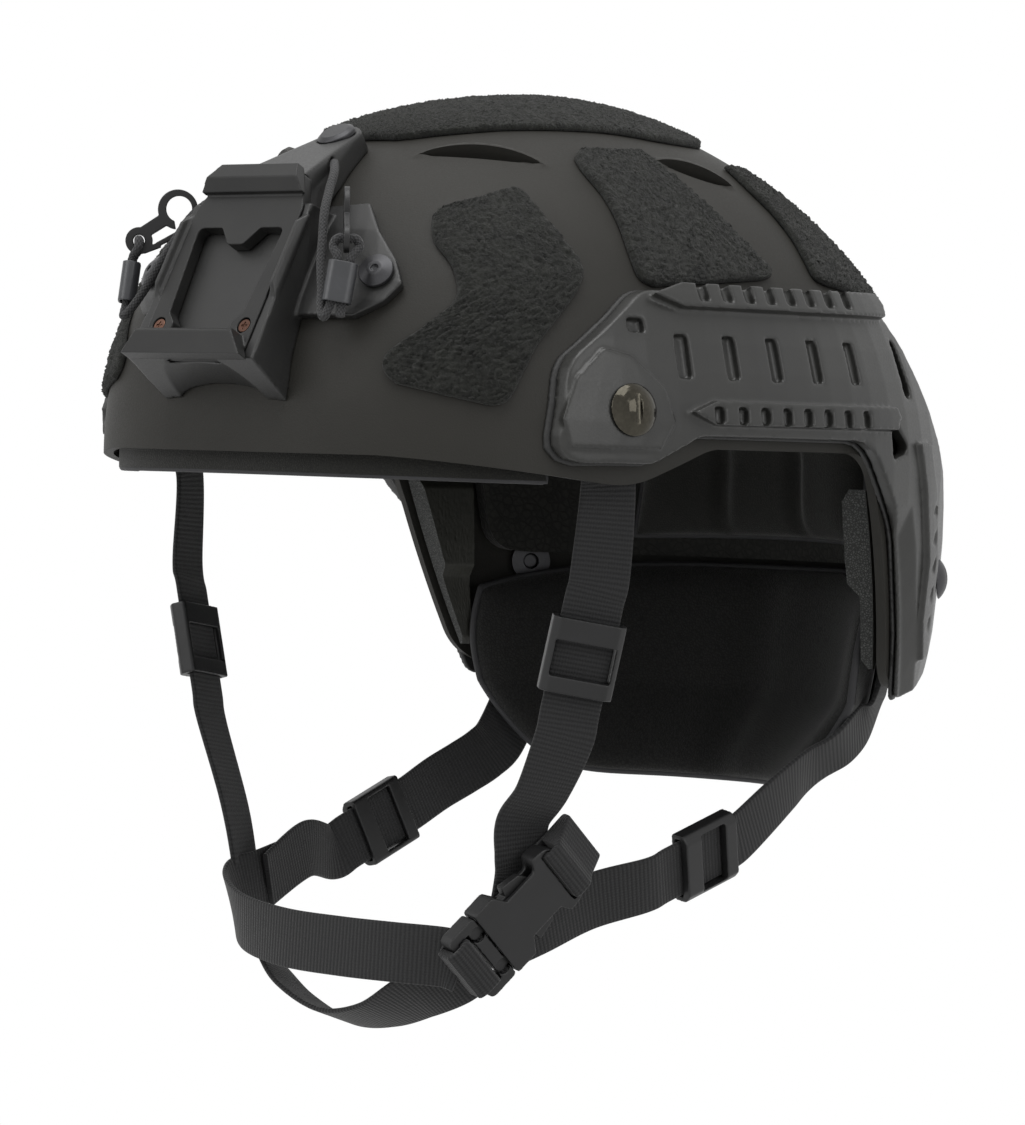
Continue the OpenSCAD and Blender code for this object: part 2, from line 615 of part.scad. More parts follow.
// Round bar between two points
module bar(p, q, d) {
    v = q - p;
    translate(p) rotate([0, acos(v[2] / norm(v)), atan2(v[1], v[0])]) cylinder(h = norm(v), d = d);
}
module lug(profile, w_low, w_high, low, high) intersection() {
    rotate([90, 0, 90]) linear_extrude(80, center = true) polygon(profile);
    translate([0, 0, -2]) linear_extrude(20) polygon(trapezoid(low, high, w_low, w_high));
}
module shroud_insert() color("#2b2b2c") mount_frame()
    difference() {
        union() {
            translate([0, 0, -insert_t + seat]) linear_extrude(insert_t + 0.2)
                difference() {
                    polygon(rounded(insert_path, 3));
                    polygon(rounded(window_path, 3));
                }
            lug([[-20, seat], [-20, 5.4], [-21.4, 6.6], [-28.4, 4.4], [-28.4, seat]], 26.5, 20.6, -28.4, -20);
            lug([[31, seat], [31, 2.4], [35, 5], [40.6, 3.6], [40.6, seat]], 22.4, 17, 31, 40.6);
        }
        both_sides() translate([screw_at[0], screw_at[1], -insert_t - 1]) cylinder(h = insert_t + 3, d = 2.8);
        both_sides() translate([screw_at[0], screw_at[1], -1.2]) cylinder(h = 4, d = 5.4);
    }
module insert_screws() color("#6a4a3c") mount_frame() both_sides()
    translate([screw_at[0], screw_at[1], -1.2 + seat])
    difference() {
        union() {
            cylinder(h = 1.1, d1 = 4.9, d2 = 4.4);
            translate([0, 0, -7]) cylinder(h = 7.4, d = 2.2);
        }
        for (a = [0, 90]) rotate(a) translate([0, 0, 1.1]) cube([2.6, 0.7, 1], center = true);
    }
module shroud_top_bolt() color("#232325")
    on_skin(top_bolt_at[0], top_bolt_at[1], 7 + seat) {
        cylinder(h = 1.6, d = mount_bolt_head);
        translate([0, 0, 1.6]) cylinder(h = 1, d1 = mount_bolt_head, d2 = mount_bolt_head - 3);
        translate([0, 0, -7 - shell_wall - 3]) cylinder(h = 7 + shell_wall + 3.2, d = bolt_d);
    }
module shroud_ear_bolts() color("#38383a") both_sides()
    on_skin(ear_bolt_at[0], ear_bolt_at[1], 3.8 + seat)
    difference() {
        union() {
            cylinder(h = 1.2, d = mount_bolt_head - 1);
            translate([0, 0, 1.2]) cylinder(h = 1.4, d1 = mount_bolt_head - 1, d2 = 5);
            translate([0, 0, -3.8 - shell_wall - 3]) cylinder(h = 3.8 + shell_wall + 3.2, d = bolt_d);
        }
        translate([0, 0, 1.8]) cylinder(h = 3, d = 2.6, $fn = 6);
    }

// Bungees and their hooks

// The eye of the left hook, and the way its plate faces
hook_eye = [46.5, -139, 66.2];
hook_yaw = -134;
hook_normal = [cos(hook_yaw), sin(hook_yaw), 0];
hook_lean = 17;
eye_r = cord_d / 2 + run;
hook_rim = 2.5;
sleeve_low = [46.9, -143.3, 46.4];
sleeve_top = [47.4, -140.7, 60.4];
strand = cord_d / 2 + 0.15;
bungee_rows = [
    [13, -111.5, 91.6], [18.9, -117.5, 87.9], [23.5, -124, 82.4], [29.2, -131.6, 75], [33, -136, 66.5],
    [36.2, -139.6, 58.4], [39.6, -142.4, 50.6], [42.2, -145, 45], [44.8, -146.4, 42],
    sleeve_low + hook_normal * strand, (sleeve_low + sleeve_top) / 2 + hook_normal * strand,
    sleeve_top + hook_normal * (strand + 0.5), hook_eye + [0, 0, -2.4] + hook_normal * 4,
    hook_eye + [0, 0, 0.1] + hook_normal * 2.7, hook_eye - [0, 0, 0.1],
    hook_eye + [0, 0, 0.1] - hook_normal * 2.7, hook_eye + [0, 0, -2.4] - hook_normal * 4,
    sleeve_top - hook_normal * (strand + 0.5), (sleeve_low + sleeve_top) / 2 - hook_normal * strand,
    sleeve_low - hook_normal * strand, [48.6, -143, 42.2]];
module bungee() color("#1b1b1c") cord(bungee_rows, 2, cord_d, [1, 0, 0]);
module bungee_left() bungee();
module bungee_right() mirror([1, 0, 0]) bungee();

// Shrunk sleeve that binds the two strands
sleeve_wall = 0.9;
sleeve_end = sleeve_low + (sleeve_top - sleeve_low) * 0.9;
sleeve_run = unit(sleeve_end - sleeve_low);
module oval(wide, deep) {
    square([2 * deep, 2 * (wide - deep)], center = true);
    for (s = [-1, 1]) translate([0, s * (wide - deep)]) circle(r = deep);
}
module sleeve() color("#4a4c4f")
    strap_frame((sleeve_low + sleeve_end) / 2, sleeve_run, cross(sleeve_run, hook_normal))
    rotate([0, 90, 0]) linear_extrude(norm(sleeve_end - sleeve_low), center = true)
    difference() {
        oval(2 * strand + 1.5 * seat + sleeve_wall, cord_d / 2 + 1.5 * seat + sleeve_wall);
        oval(2 * strand + 1.5 * seat, cord_d / 2 + 1.5 * seat);
    }
module sleeve_left() sleeve();
module sleeve_right() mirror([1, 0, 0]) sleeve();

// Flat hook: an eye for the cord and an open loop with a sprung tongue
module hook() color("#2c2d2f")
    translate(hook_eye) rotate([90, 0, hook_yaw - 90]) rotate(-hook_lean)
    linear_extrude(hook_t, center = true)
    difference() {
        union() {
            circle(r = eye_r + hook_rim);
            polygon([[-2.2, 2.6], [2.6, 2.2], [7.6, 8.2], [4.4, 11]]);
            difference() {
                translate([8.6, 13.4]) circle(r = 6.4);
                translate([8.9, 13.7]) circle(r = 4.1);
                translate([8.6, 13.4]) rotate(-62) translate([2, -1.7]) square([8, 3.4]);
            }
            polygon([[5.4, 1.2], [6.9, 0.6], [13.6, 7.2], [12.3, 8.7]]);
            polygon([[1.8, -2.4], [3, -3.4], [7.4, 0.2], [6.2, 1.8]]);
        }
        circle(r = eye_r);
    }
module hook_left() hook();
module hook_right() mirror([1, 0, 0]) hook();

// Loop pile patches, from their lower to their upper ends

loop_high = 2.5;
module pile(front, back, steps) color("#2a2b28") skin_patch(front, back, steps, seat, seat + loop_high);
module loop_front() pile(
    [[-58.7, 22], [-60.6, 26], [-60.2, 31.5], [-55.9, 39], [-52.4, 46], [-51.6, 51], [-53.1, 59],
        [-56.5, 66.5], [-57.7, 73.9], [-55.3, 77.4]],
    [[-46.1, 16.1], [-43.9, 17.7], [-42, 26.9], [-40.3, 35.4], [-36.7, 47], [-34.8, 53.6], [-34.3, 60],
        [-37.5, 69.5], [-43, 81.6], [-45.6, 84]], 7);
module loop_mid() pile(
    [[-23.4, 54.6], [-25.6, 57.4], [-26.7, 65], [-27.7, 74.5], [-29.6, 83.4], [-32.8, 91.4], [-33.6, 95.8],
        [-31.3, 98]],
    [[-1.2, 58.8], [2, 60.6], [1.1, 65.2], [-2.6, 74.7], [-6.3, 82.8], [-10.9, 91.6], [-13.8, 96.6],
        [-16.6, 98.8]], 7);
module loop_rear() pile(
    [[17.2, 58.6], [14.2, 60.8], [14.6, 67], [15.6, 74], [16, 82], [15.8, 90], [17.8, 96.8]],
    [[42.7, 53], [42.5, 56], [40.6, 63.5], [38.8, 71], [36, 79.5], [32.5, 88.6], [27.9, 96.4]], 7);
module loop_front_left() loop_front();
module loop_front_right() mirror([1, 0, 0]) loop_front();
module loop_mid_left() loop_mid();
module loop_mid_right() mirror([1, 0, 0]) loop_mid();
module loop_rear_left() loop_rear();
module loop_rear_right() mirror([1, 0, 0]) loop_rear();
module loop_back() pile(
    [for (z = [-48, -44, -20, 0, 4, 9, 15, 21, 28, 33]) [78 + 3 * pow(abs(z + 7) / 41, 6), z]],
    [for (z = [-48, -44, -20, 0, 4, 9, 15, 21, 28, 33]) [102 - 3 * pow(abs(z + 7) / 41, 6), z]], 6);
// The crown patch is laid out in plan, as half widths from front to back
crown_rows = [[-83, 12], [-80, 20], [-72, 31], [-61, 39.5], [-50, 45], [-38, 48.4], [-26, 50], [-14, 51],
    [-2, 51.5], [10, 50.5], [20, 48], [28, 44], [31, 38]];
function crown_grid(rows, steps, off) =
    [for (r = rows) [for (j = [0:steps]) crown_lay(r[1] * (2 * j / steps - 1), r[0], off)]];
module loop_top() color("#2a2b28")
    slab(crown_grid(crown_rows, 10, seat + loop_high), crown_grid(crown_rows, 10, seat));

// Liner

// Fullness of a cushion over its face, with sewn channels across it
function pillow(u, v, channels) =
    let (edge = (1 - pow(abs(2 * u - 1), 5)) * (1 - pow(abs(2 * v - 1), 4)),
        seam = channels == 0 ? 1 : 1 - 0.32 * exp(-pow((u * channels - round(u * channels)) * 7, 2)))
    0.3 + 0.7 * edge * (u < 0.04 || u > 0.96 ? 1 : seam);
// Cushion inside the shell between two bearings and two heights, its ends drawn in
module shell_pad(b0, b1, z0, z1, cols, rows, t, channels, back, pinch = 1.5) {
    function at(u, v) = [b0 + (b1 - b0) * u + pinch * (1 - 2 * u) * sin(180 * v),
        z0 + (z1 - z0) * v + pinch * 0.8 * (1 - 2 * v) * sin(180 * u)];
    slab([for (i = [0:rows]) [for (j = [0:cols])
            let (q = at(j / cols, i / rows)) lay(q[0], q[1], -back)]],
        [for (i = [0:rows]) [for (j = [0:cols])
            let (u = j / cols, v = i / rows, q = at(u, v))
            lay(q[0], q[1], -back - t * pillow(u, v, channels))]]);
}
foam_back = shell_wall + seat + 3.5 * flats;
liner_back = foam_back + foam_t + seat + 1.5 * flats;
foam_front_z = 29;
foam_ear_z = 25;
foam_rear_y = tip_y + 8;
foam_nape_z = -33;
foam_corners = [[-fore_y, foam_front_z, 0], [-temple_y, foam_ear_z, 20], [foam_rear_y - 9, foam_ear_z, 16],
    [foam_rear_y, foam_nape_z + 1, 10], [foam_rear_y + 14, foam_nape_z, 0]];
foam_half = concat(
    [for (i = [0:7]) let (b = -90 + (bearing_at(-fore_y) + 90) * i / 8) [b, foam_front_z]],
    bearings_of(divided(rounded(foam_corners, 2), 7)),
    [for (i = [1:6]) let (b = bearing_at(foam_rear_y + 14) + (90 - bearing_at(foam_rear_y + 14)) * i / 6)
        [b, foam_nape_z]]);
module foam_liner() color("#2e2e2c")
    difference() {
        dome_layer(whole_edge(foam_half), 10, -foam_back, -foam_back - foam_t);
        both_sides() for (v = vent_spots) vent_cut(v);
        both_sides() for (at = side_bolts) nut_pocket(at);
        nut_pocket(top_bolt_at);
    }
module nut_pocket(at) on_skin(at[0], at[1], -foam_back - 4.5) cylinder(h = 12, d = nut_d + 4 * run);

// Foam pad inside the drop behind the ear, thinner in its lower part
drop_rows = [[-66, 1.5], [-63, 4.2], [-54, 4.5], [-45, 4.5], [-42, 4.8], [-38, 9], [-30, 9.5], [-20, 9.5],
    [-11, 9], [-7, 6]];
function drop_y(z, t) = let (y = leg_front(z) - leg_gap + 2) y + (foam_rear_y - 8 - y) * t;
function drop_lay(r, t, depth) = lay(bearing_at(drop_y(r[0], t), r[0]), r[0], -foam_back - depth);
module drop_pad_left() color("#3a3a39")
    slab([for (r = drop_rows) [for (j = [0:5]) drop_lay(r, j / 5, 0)]],
        [for (r = drop_rows) [for (j = [0:5]) drop_lay(r, j / 5, r[1])]]);
module drop_pad_right() mirror([1, 0, 0]) drop_pad_left();

module brow_pad() color("#1f201d") shell_pad(-142, -38, -6.5, 24, 24, 5, brow_t, 5, foam_back, 0.8);
module side_pad_left() color("#1f1f20") shell_pad(-19, 17, 28, 72, 8, 10, pad_t, 2, liner_back);
module side_pad_right() mirror([1, 0, 0]) side_pad_left();
module rear_pad() color("#1b1b1c") shell_pad(58, 122, -26, 44, 14, 10, pad_t, 3, liner_back);
module crown_pad() {
    function half(v) = 40 - 3 * sin(180 * v);
    function at(u, v) = [(2 * u - 1) * half(v), -46 + 92 * v];
    function pad_lay(u, v, t) = let (q = at(u, v)) crown_lay(q[0], q[1], -liner_back - t * pillow(u, v, 2));
    color("#1f1f20") slab([for (i = [0:10]) [for (j = [0:10]) pad_lay(j / 10, i / 10, 0)]],
        [for (i = [0:10]) [for (j = [0:10]) pad_lay(j / 10, i / 10, pad_t)]]);
}

// Nape yoke: a curved carrier behind the nape pad, sliding forward on two posts inside the shell
yoke_t = 2.4;
yoke_back = shell_wall + web_t + 2.6;
yoke_low = -nape_pad_low + 18;
yoke_high = -43;
yoke_b0 = 46;
nape_b0 = 30.6;
nape_b1 = 180 - nape_b0;
pad_back = yoke_back + yoke_t + seat;
// Near its lower edge the pad draws in towards the neck
function tuck(z) = 18 * pow(max(0, -z - 78) / 30, 1.2);
function nape_lay(b, z, depth) = lay(b, z, -depth - tuck(z));
// Lower and upper edges of the nape pad, across its width
function nape_low(u) = -nape_pad_low + 30 * pow(abs(2 * u - 1), 9);
function nape_high(u) = -36 - 10 * pow(abs(2 * u - 1), 4);
// The posts, and the collars that run on them
post_b = 68;
post_z = -50;
post_d = 4.4;
collar_d = 8.4;
post_foot = lay(post_b, post_z, -shell_wall) - [0, seat + 1.7, 0];
post_flange = 1;
flange_d = 6.8;
post_l = yoke_travel + 5;
module along_post(from, to, d) both_sides()
    translate([post_foot[0], post_foot[1] - from, post_z]) rotate([90, 0, 0]) cylinder(h = to - from, d = d);
module nape_pad() {
    cols = 26;
    rows = 9;
    function at(u, v) = [nape_b0 + (nape_b1 - nape_b0) * u - 1.3 * (1 - 2 * u) * sin(180 * v),
        nape_low(u) + (nape_high(u) - nape_low(u)) * v];
    color("#151516") difference() {
        slab([for (i = [0:rows]) [for (j = [0:cols])
                let (q = at(j / cols, i / rows)) nape_lay(q[0], q[1], pad_back + 0.2)]],
            [for (i = [0:rows]) [for (j = [0:cols])
                let (u = j / cols, v = i / rows, q = at(u, v))
                nape_lay(q[0], q[1], pad_back + nape_t * pillow(u, v, 2))]]);
        along_post(0, post_l + 1, post_d + 4 * run);
    }
}
function nape_grid(depth) = [for (z = [yoke_low, -84, -78, -66, -54, yoke_high]) [for (j = [0:20])
    nape_lay(yoke_b0 + (180 - 2 * yoke_b0) * j / 20, z, depth)]];
module nape_yoke() color("#2b2b2d")
    difference() {
        union() {
            slab(nape_grid(yoke_back), nape_grid(yoke_back + yoke_t));
            along_post(post_flange + run, 4, collar_d);
        }
        along_post(-1, post_l, post_d + 2 * run);
        translate([0, shell_back, dial_z]) rotate([90, 0, 0])
            cylinder(h = 80, d = hub_d + 2 * run, center = true);
    }
module guide_posts() color("#3a3a3c") {
    along_post(0, post_flange, flange_d);
    along_post(0, post_l, post_d);
}

// Fit dial on the back of the yoke, turning on its hub
hub_d = 9;
dial_z = -77.5;
housing_d = dial_d + 6;
dial_y = nape_lay(90, dial_z + housing_d / 2, yoke_back)[1];
hub_l = dial_y + seat - nape_lay(90, dial_z + hub_d / 2, yoke_back + yoke_t)[1];
housing_h = 7.5;
module dial_housing() color("#242426")
    translate([0, dial_y + seat, dial_z]) rotate([-90, 0, 0])
    difference() {
        union() {
            cylinder(h = housing_h - 2, d = housing_d, $fn = 64);
            translate([0, 0, housing_h - 2]) cylinder(h = 2, d1 = housing_d, d2 = housing_d - 4, $fn = 64);
            // Cable tunnels to both sides
            for (s = [-1, 1]) translate([s * (housing_d / 2 + 4), 0, 2.4]) cube([14, 9, 4.8], center = true);
            translate([0, 0, -hub_l]) cylinder(h = hub_l + 1, d = hub_d);
        }
        translate([0, 0, -6]) cylinder(h = 20, d = 5 + 2 * run);
    }
module dial_knob() color("#1d1d1f")
    translate([0, dial_y + seat + housing_h + run, dial_z]) rotate([-90, 0, 0])
    difference() {
        union() {
            cylinder(h = dial_h - 1.5, d = dial_d, $fn = 64);
            translate([0, 0, dial_h - 1.5]) cylinder(h = 1.5, d1 = dial_d, d2 = dial_d - 3, $fn = 64);
            translate([0, 0, -housing_h - 1]) cylinder(h = housing_h + 2, d = 5);
        }
        for (k = [0:dial_grips - 1]) rotate(360 * k / dial_grips)
            translate([dial_d / 2 + 0.9, 0, -1]) cylinder(h = dial_h + 2, d = 4);
        translate([0, 0, dial_h - 1]) cylinder(h = 3, d = dial_d * 0.5);
    }

// Chin strap

// Strap places. Each row is a point and the way the webbing faces there.
lock_reach = 27;
front_lock_left = [86.4, -70, -61.2];
front_lock_right = [-85.6, -70, -63.6];
front_run_left = unit([-0.22, -0.03, -0.97]);
front_run_right = unit([0.28, -0.03, -0.96]);
rear_lock_left = [73, 6.8, -127];
rear_lock_right = [-73, 6.8, -125.4];
rear_run_left = unit([0.06, 0.94, 0.32]);
rear_run_right = unit([-0.05, 0.93, 0.36]);
front_face_left = [0.78, -0.62, -0.2];
front_face_right = [-0.94, -0.3, -0.2];
rear_face_left = [0.97, -0.02, -0.2];
rear_face_right = [-0.97, -0.02, -0.2];
function straight(c, d, f, fore = lock_reach) =
    [for (k = [-lock_reach, -lock_reach * 0.66, 0, fore * 0.66, fore]) [each c + d * k, each f]];
function anchor(b, z, off) = lay(b, z, -shell_wall - off);
strap_gap = 4.6;
front_anchor = anchor(rail_bolt_at[0], 8, strap_gap + web_t / 2);
// The rear straps run up behind the ends of the nape pad, beside the yoke
strap_deep = yoke_back - seat - web_t / 2;
strap_shallow = shell_wall + seat + 4 * flats + web_t / 2;
function behind(s, b, z) =
    let (share = min(1, max(0, (z + 84) / 30)), depth = strap_deep + (strap_shallow - strap_deep) * share,
        p = nape_lay(b, z, depth), n = skin_normal(b, 0))
    [s * p[0], p[1], z, s * n[0], n[1], 0];

module strap_front_left() color("#1e1e1f") webbing(concat(
    [[each front_anchor, 0.93, -0.36, 0], [94, -68.5, -8, 0.93, -0.36, 0]],
    straight(front_lock_left, front_run_left, front_face_left),
    [[71.5, -70, -104, 0.9, -0.36, -0.26], [62.5, -69, -114, 0.9, -0.34, -0.26],
        [60.4, -67.4, -124, 0.95, -0.26, -0.16], [59.4, -66, -131, 0.95, -0.26, -0.16]]), 2);
module strap_front_right() color("#1e1e1f") webbing(concat(
    [[each mirrored_x(front_anchor), -0.93, -0.36, 0], [-94, -68.5, -8, -0.93, -0.36, 0]],
    straight(front_lock_right, front_run_right, front_face_right),
    [[-66.6, -70.6, -116, -0.93, -0.34, -0.14], [-59.4, -71.4, -139, -0.9, -0.42, 0]]), 2);
function rear_rows(s, c, d, f, start, under) = concat(start, straight(c, d, f, 17), under,
    [behind(s, 37.8, -84), behind(s, 38.6, -75), behind(s, 38.6, -65), behind(s, 38.6, -54),
        behind(s, 39, -44)]);
module strap_rear_left() color("#1e1e1f") webbing(rear_rows(1,
    rear_lock_left, rear_run_left, rear_face_left,
    [[61.6, -58, -147.6, 0.95, -0.25, -0.16], [64.2, -38, -140.6, 0.96, -0.2, -0.16]],
    [[75, 36, -112.5, 0.97, 0.02, -0.25], [75, 48, -105, 0.95, 0.12, -0.3], [75, 58.5, -99, 0.9, 0.26, -0.34],
        [79.2, 68.6, -92.6, 0.9, 0.38, -0.2]]), 2);
module strap_rear_right() color("#1e1e1f") webbing(rear_rows(-1,
    rear_lock_right, rear_run_right, rear_face_right,
    [[-58, -62, -142, -0.92, -0.36, 0], [-64.4, -38, -133, -0.96, -0.2, -0.1]],
    [[-75, 36, -113.5, -0.97, 0.02, -0.25], [-74.4, 48, -108.4, -0.95, 0.12, -0.3],
        [-74, 58.5, -103.6, -0.9, 0.26, -0.34], [-75.4, 68, -98, -0.86, 0.42, -0.3]]), 2);

// Ladder lock: a frame round the webbing with a window over it. X along the strap, Z outwards.
module strap_frame(c, d, f) {
    n = unit(f - d * (f * d));
    a = cross(n, d);
    multmatrix([[d[0], a[0], n[0], c[0]], [d[1], a[1], n[1], c[1]], [d[2], a[2], n[2], c[2]], [0, 0, 0, 1]])
        children();
}
lock_in = web_t / 2 + run;
lock_window = 11.5;
module lock(c, d, f) color("#26272a") strap_frame(c, d, f)
    difference() {
        translate([-lock_l / 2, 0, 0]) rotate([90, 0, 90]) linear_extrude(lock_l)
            polygon(rounded([[-lock_w / 2, -lock_in - 1.6, 1], [lock_w / 2, -lock_in - 1.6, 1],
                [lock_w / 2, lock_in + 1, 1.6], [lock_w / 2 - 2.5, lock_in + 3, 1.4],
                [-lock_w / 2 + 2.5, lock_in + 3, 1.4], [-lock_w / 2, lock_in + 1, 1.6]], 3));
        translate([0, 0, 0]) cube([lock_l + 2, web_w + 4 * run, 2 * lock_in], center = true);
        translate([-lock_window / 2 + 1, -web_w / 2 - run, -10]) cube([lock_window, web_w + 2 * run, 20]);
    }
module lock_front_left() lock(front_lock_left, front_run_left, front_face_left);
module lock_front_right() lock(front_lock_right, front_run_right, front_face_right);
module lock_rear_left() lock(rear_lock_left, rear_run_left, rear_face_left);
module lock_rear_right() lock(rear_lock_right, rear_run_right, rear_face_right);

// Chin bands: the upper one crosses the chin and the lower one passes under it
module chin_band_upper() color("#202021") webbing([
    [-57.6, -76.6, -143.6, -0.86, -0.47, -0.28], [-51.4, -84.8, -148, -0.68, -0.7, -0.26],
    [-37, -93, -153, -0.38, -0.92, -0.12], [-13, -98.4, -155.6, -0.12, -0.99, 0],
    [13, -99.6, -156.2, 0.08, -0.99, 0.05], [34, -97.6, -156.4, 0.34, -0.94, 0.02],
    [50.4, -91.2, -157, 0.64, -0.76, -0.02]], 3);
module chin_band_lower() color("#202021") webbing([
    [-47.6, -79.4, -156.4, -0.72, -0.64, -0.26], [-37.4, -80, -165.6, -0.6, -0.42, -0.68],
    [-23.4, -82.6, -174.4, -0.36, -0.3, -0.88], [-2, -84.6, -180.8, -0.04, -0.3, -0.95],
    [18, -85.6, -178.4, 0.3, -0.4, -0.86], [35, -87, -171.2, 0.46, -0.66, -0.6],
    [49, -86, -164.6, 0.62, -0.74, -0.3]], 3);

// Side release buckle. X along it towards the socket, Y across it and Z outwards.
buckle_run = unit([0.272, 0.649, 0.709]);
buckle_face = unit([0.96, -0.25, -0.14]);
buckle_at = [63.7, -74.3, -145];
module buckle_frame() strap_frame(buckle_at, buckle_run, buckle_face) children();
half_b = buckle_w / 2;
hollow = 3.8;
socket_l = 25;
module buckle_socket() color("#2b2b2d") buckle_frame()
    difference() {
        translate([0, 0, -buckle_t / 2]) linear_extrude(buckle_t)
            polygon(rounded([[-10, -half_b, 1], [-1.5, -half_b, 1.5], [1.5, -half_b + 5, 1],
                [14.5, -half_b + 5, 1], [16.5, -half_b + 1.2, 1.5], [socket_l - 3, -half_b + 1.8, 3],
                [socket_l, -half_b + 6, 3],
                [socket_l, half_b - 6, 3], [socket_l - 3, half_b - 1.8, 3], [16.5, half_b - 1.2, 1.5],
                [14.5, half_b - 5, 1], [1.5, half_b - 5, 1], [-1.5, half_b, 1.5], [-10, half_b, 1]], 2));
        // Hollow for the plug's tongue and prongs
        translate([-11, -half_b + 1.4, -hollow / 2]) cube([26.5, buckle_w - 2.8, hollow]);
        // Slot for the sewn tab
        translate([socket_l - 5.8, -web_w / 2 - run, -buckle_t]) cube([3.2, web_w + 2 * run, 2 * buckle_t]);
    }
prong_pivot = 7.4;
module buckle_plug() color("#2b2b2d") buckle_frame()
    difference() {
        union() {
            translate([-22, -half_b, -buckle_t / 2 + 0.6]) linear_extrude(buckle_t - 1.2)
                polygon(rounded([[0, 0, 2], [11.6, 0, 1], [11.6, buckle_w, 1], [0, buckle_w, 2]], 2));
            translate([-11, -1.6, -hollow / 2 + run]) cube([20, 3.2, hollow - 2 * run]);
        }
        translate([-19.4, -web_w / 2 - run, -buckle_t]) cube([4.4, web_w + 2 * run, 2 * buckle_t]);
        for (s = [-1, 1]) translate([-12.4, s * prong_pivot, 0])
            cylinder(h = 2 * buckle_t, r = 2.2 + run, center = true);
        for (s = [-1, 1]) translate([-13.4, s * prong_pivot - 2.9, -hollow / 2 - run])
            cube([6, 5.8, hollow + 2 * run]);
    }
module prong(s) color("#303134") buckle_frame() mirror([0, s < 0 ? 1 : 0, 0])
    translate([0, 0, -hollow / 2 + run]) linear_extrude(hollow - 2 * run)
    union() {
        translate([-12.4, prong_pivot]) circle(r = 2.2);
        polygon([[-12.4, prong_pivot - 1.5], [10.6, prong_pivot - 3.2], [13, prong_pivot - 1.2],
            [10.4, prong_pivot + 3], [3.4, prong_pivot + 4.4], [2.6, prong_pivot + 1.3],
            [-12.4, prong_pivot + 1.5]]);
    }
module prong_upper() prong(1);
module prong_lower() prong(-1);
// Folded and sewn webbing that holds the socket to the side straps. The hole is the socket's end bar.
fold_half = buckle_t / 2 + seat + web_t;
module strap_tab() color("#1a1a1b") buckle_frame()
    difference() {
        translate([0, web_w / 2, 0]) rotate([90, 0, 0]) linear_extrude(web_w)
            polygon(rounded([[socket_l - 5, -fold_half, 1.2], [socket_l + 12, -fold_half, 0.8],
                [socket_l + 12, -fold_half + 3.4, 0.8], [socket_l + 4, fold_half - 3, 3],
                [socket_l + 1, fold_half, 1.6], [socket_l - 5, fold_half, 1.4]], 2));
        translate([socket_l - 2.6 - seat, -20, -buckle_t / 2 - seat])
            cube([2.6 + 2 * seat, 40, buckle_t + 2 * seat]);
    }
// The same at the chin, round the plug's end bar
module chin_fold() color("#1a1a1b") buckle_frame()
    difference() {
        translate([0, web_w / 2, 0]) rotate([90, 0, 0]) linear_extrude(web_w)
            polygon(rounded([[-25, -fold_half + 2, 1.4], [-22, -fold_half + 0.6, 1.4],
                [-16, -fold_half + 0.6, 1.2], [-16, fold_half - 0.6, 1.2],
                [-22, fold_half - 0.6, 1.4], [-25, fold_half - 2, 1.4]], 2));
        translate([-22 - seat, -20, -buckle_t / 2 + 0.6 - seat])
            cube([2.6 + 2 * seat, 40, buckle_t - 1.2 + 2 * seat]);
    }

shell();
rail_left();
rail_right();
gasket_left();
gasket_right();
rail_front_bolts();
rail_rear_bolts();
shell_nuts();
shroud_frame();
shroud_insert();
insert_screws();
shroud_top_bolt();
shroud_ear_bolts();
bungee_left();
bungee_right();
sleeve_left();
sleeve_right();
hook_left();
hook_right();
loop_front_left();
loop_front_right();
loop_mid_left();
loop_mid_right();
loop_rear_left();
loop_rear_right();
loop_top();
loop_back();
foam_liner();
drop_pad_left();
drop_pad_right();
brow_pad();
crown_pad();
side_pad_left();
side_pad_right();
rear_pad();
nape_pad();
nape_yoke();
guide_posts();
dial_housing();
dial_knob();
strap_front_left();
strap_front_right();
strap_rear_left();
strap_rear_right();
lock_front_left();
lock_front_right();
lock_rear_left();
lock_rear_right();
chin_band_upper();
chin_band_lower();
buckle_socket();
buckle_plug();
prong_upper();
prong_lower();
strap_tab();
chin_fold();
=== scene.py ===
# Combat helmet with side rails, a front device mount, loop patches, a padded liner and a chin strap.
# Forms are worked out in millimetres on the same domed skin as the solids, and turned to metres at the end.
import bpy
import json
import math
import numpy as np
from mathutils import Matrix, Vector


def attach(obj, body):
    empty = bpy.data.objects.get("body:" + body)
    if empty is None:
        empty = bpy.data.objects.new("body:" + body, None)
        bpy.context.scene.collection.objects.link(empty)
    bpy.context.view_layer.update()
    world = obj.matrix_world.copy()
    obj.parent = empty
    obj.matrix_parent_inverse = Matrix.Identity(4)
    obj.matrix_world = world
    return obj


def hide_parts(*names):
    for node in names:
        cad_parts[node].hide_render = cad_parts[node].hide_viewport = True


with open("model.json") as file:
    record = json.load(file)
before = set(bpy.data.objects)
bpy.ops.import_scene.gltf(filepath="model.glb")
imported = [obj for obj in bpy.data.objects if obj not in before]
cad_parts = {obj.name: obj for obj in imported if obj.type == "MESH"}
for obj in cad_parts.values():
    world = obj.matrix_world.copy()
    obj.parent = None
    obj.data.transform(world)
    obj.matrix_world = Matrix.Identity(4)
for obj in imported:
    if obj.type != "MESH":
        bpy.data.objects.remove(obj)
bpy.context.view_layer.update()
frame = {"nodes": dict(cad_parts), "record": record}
MM = 0.001
body_of = {node: body for body, nodes in frame["record"]["behaviour"]["bodies"].items() for node in nodes}
dice = np.random.default_rng(7)

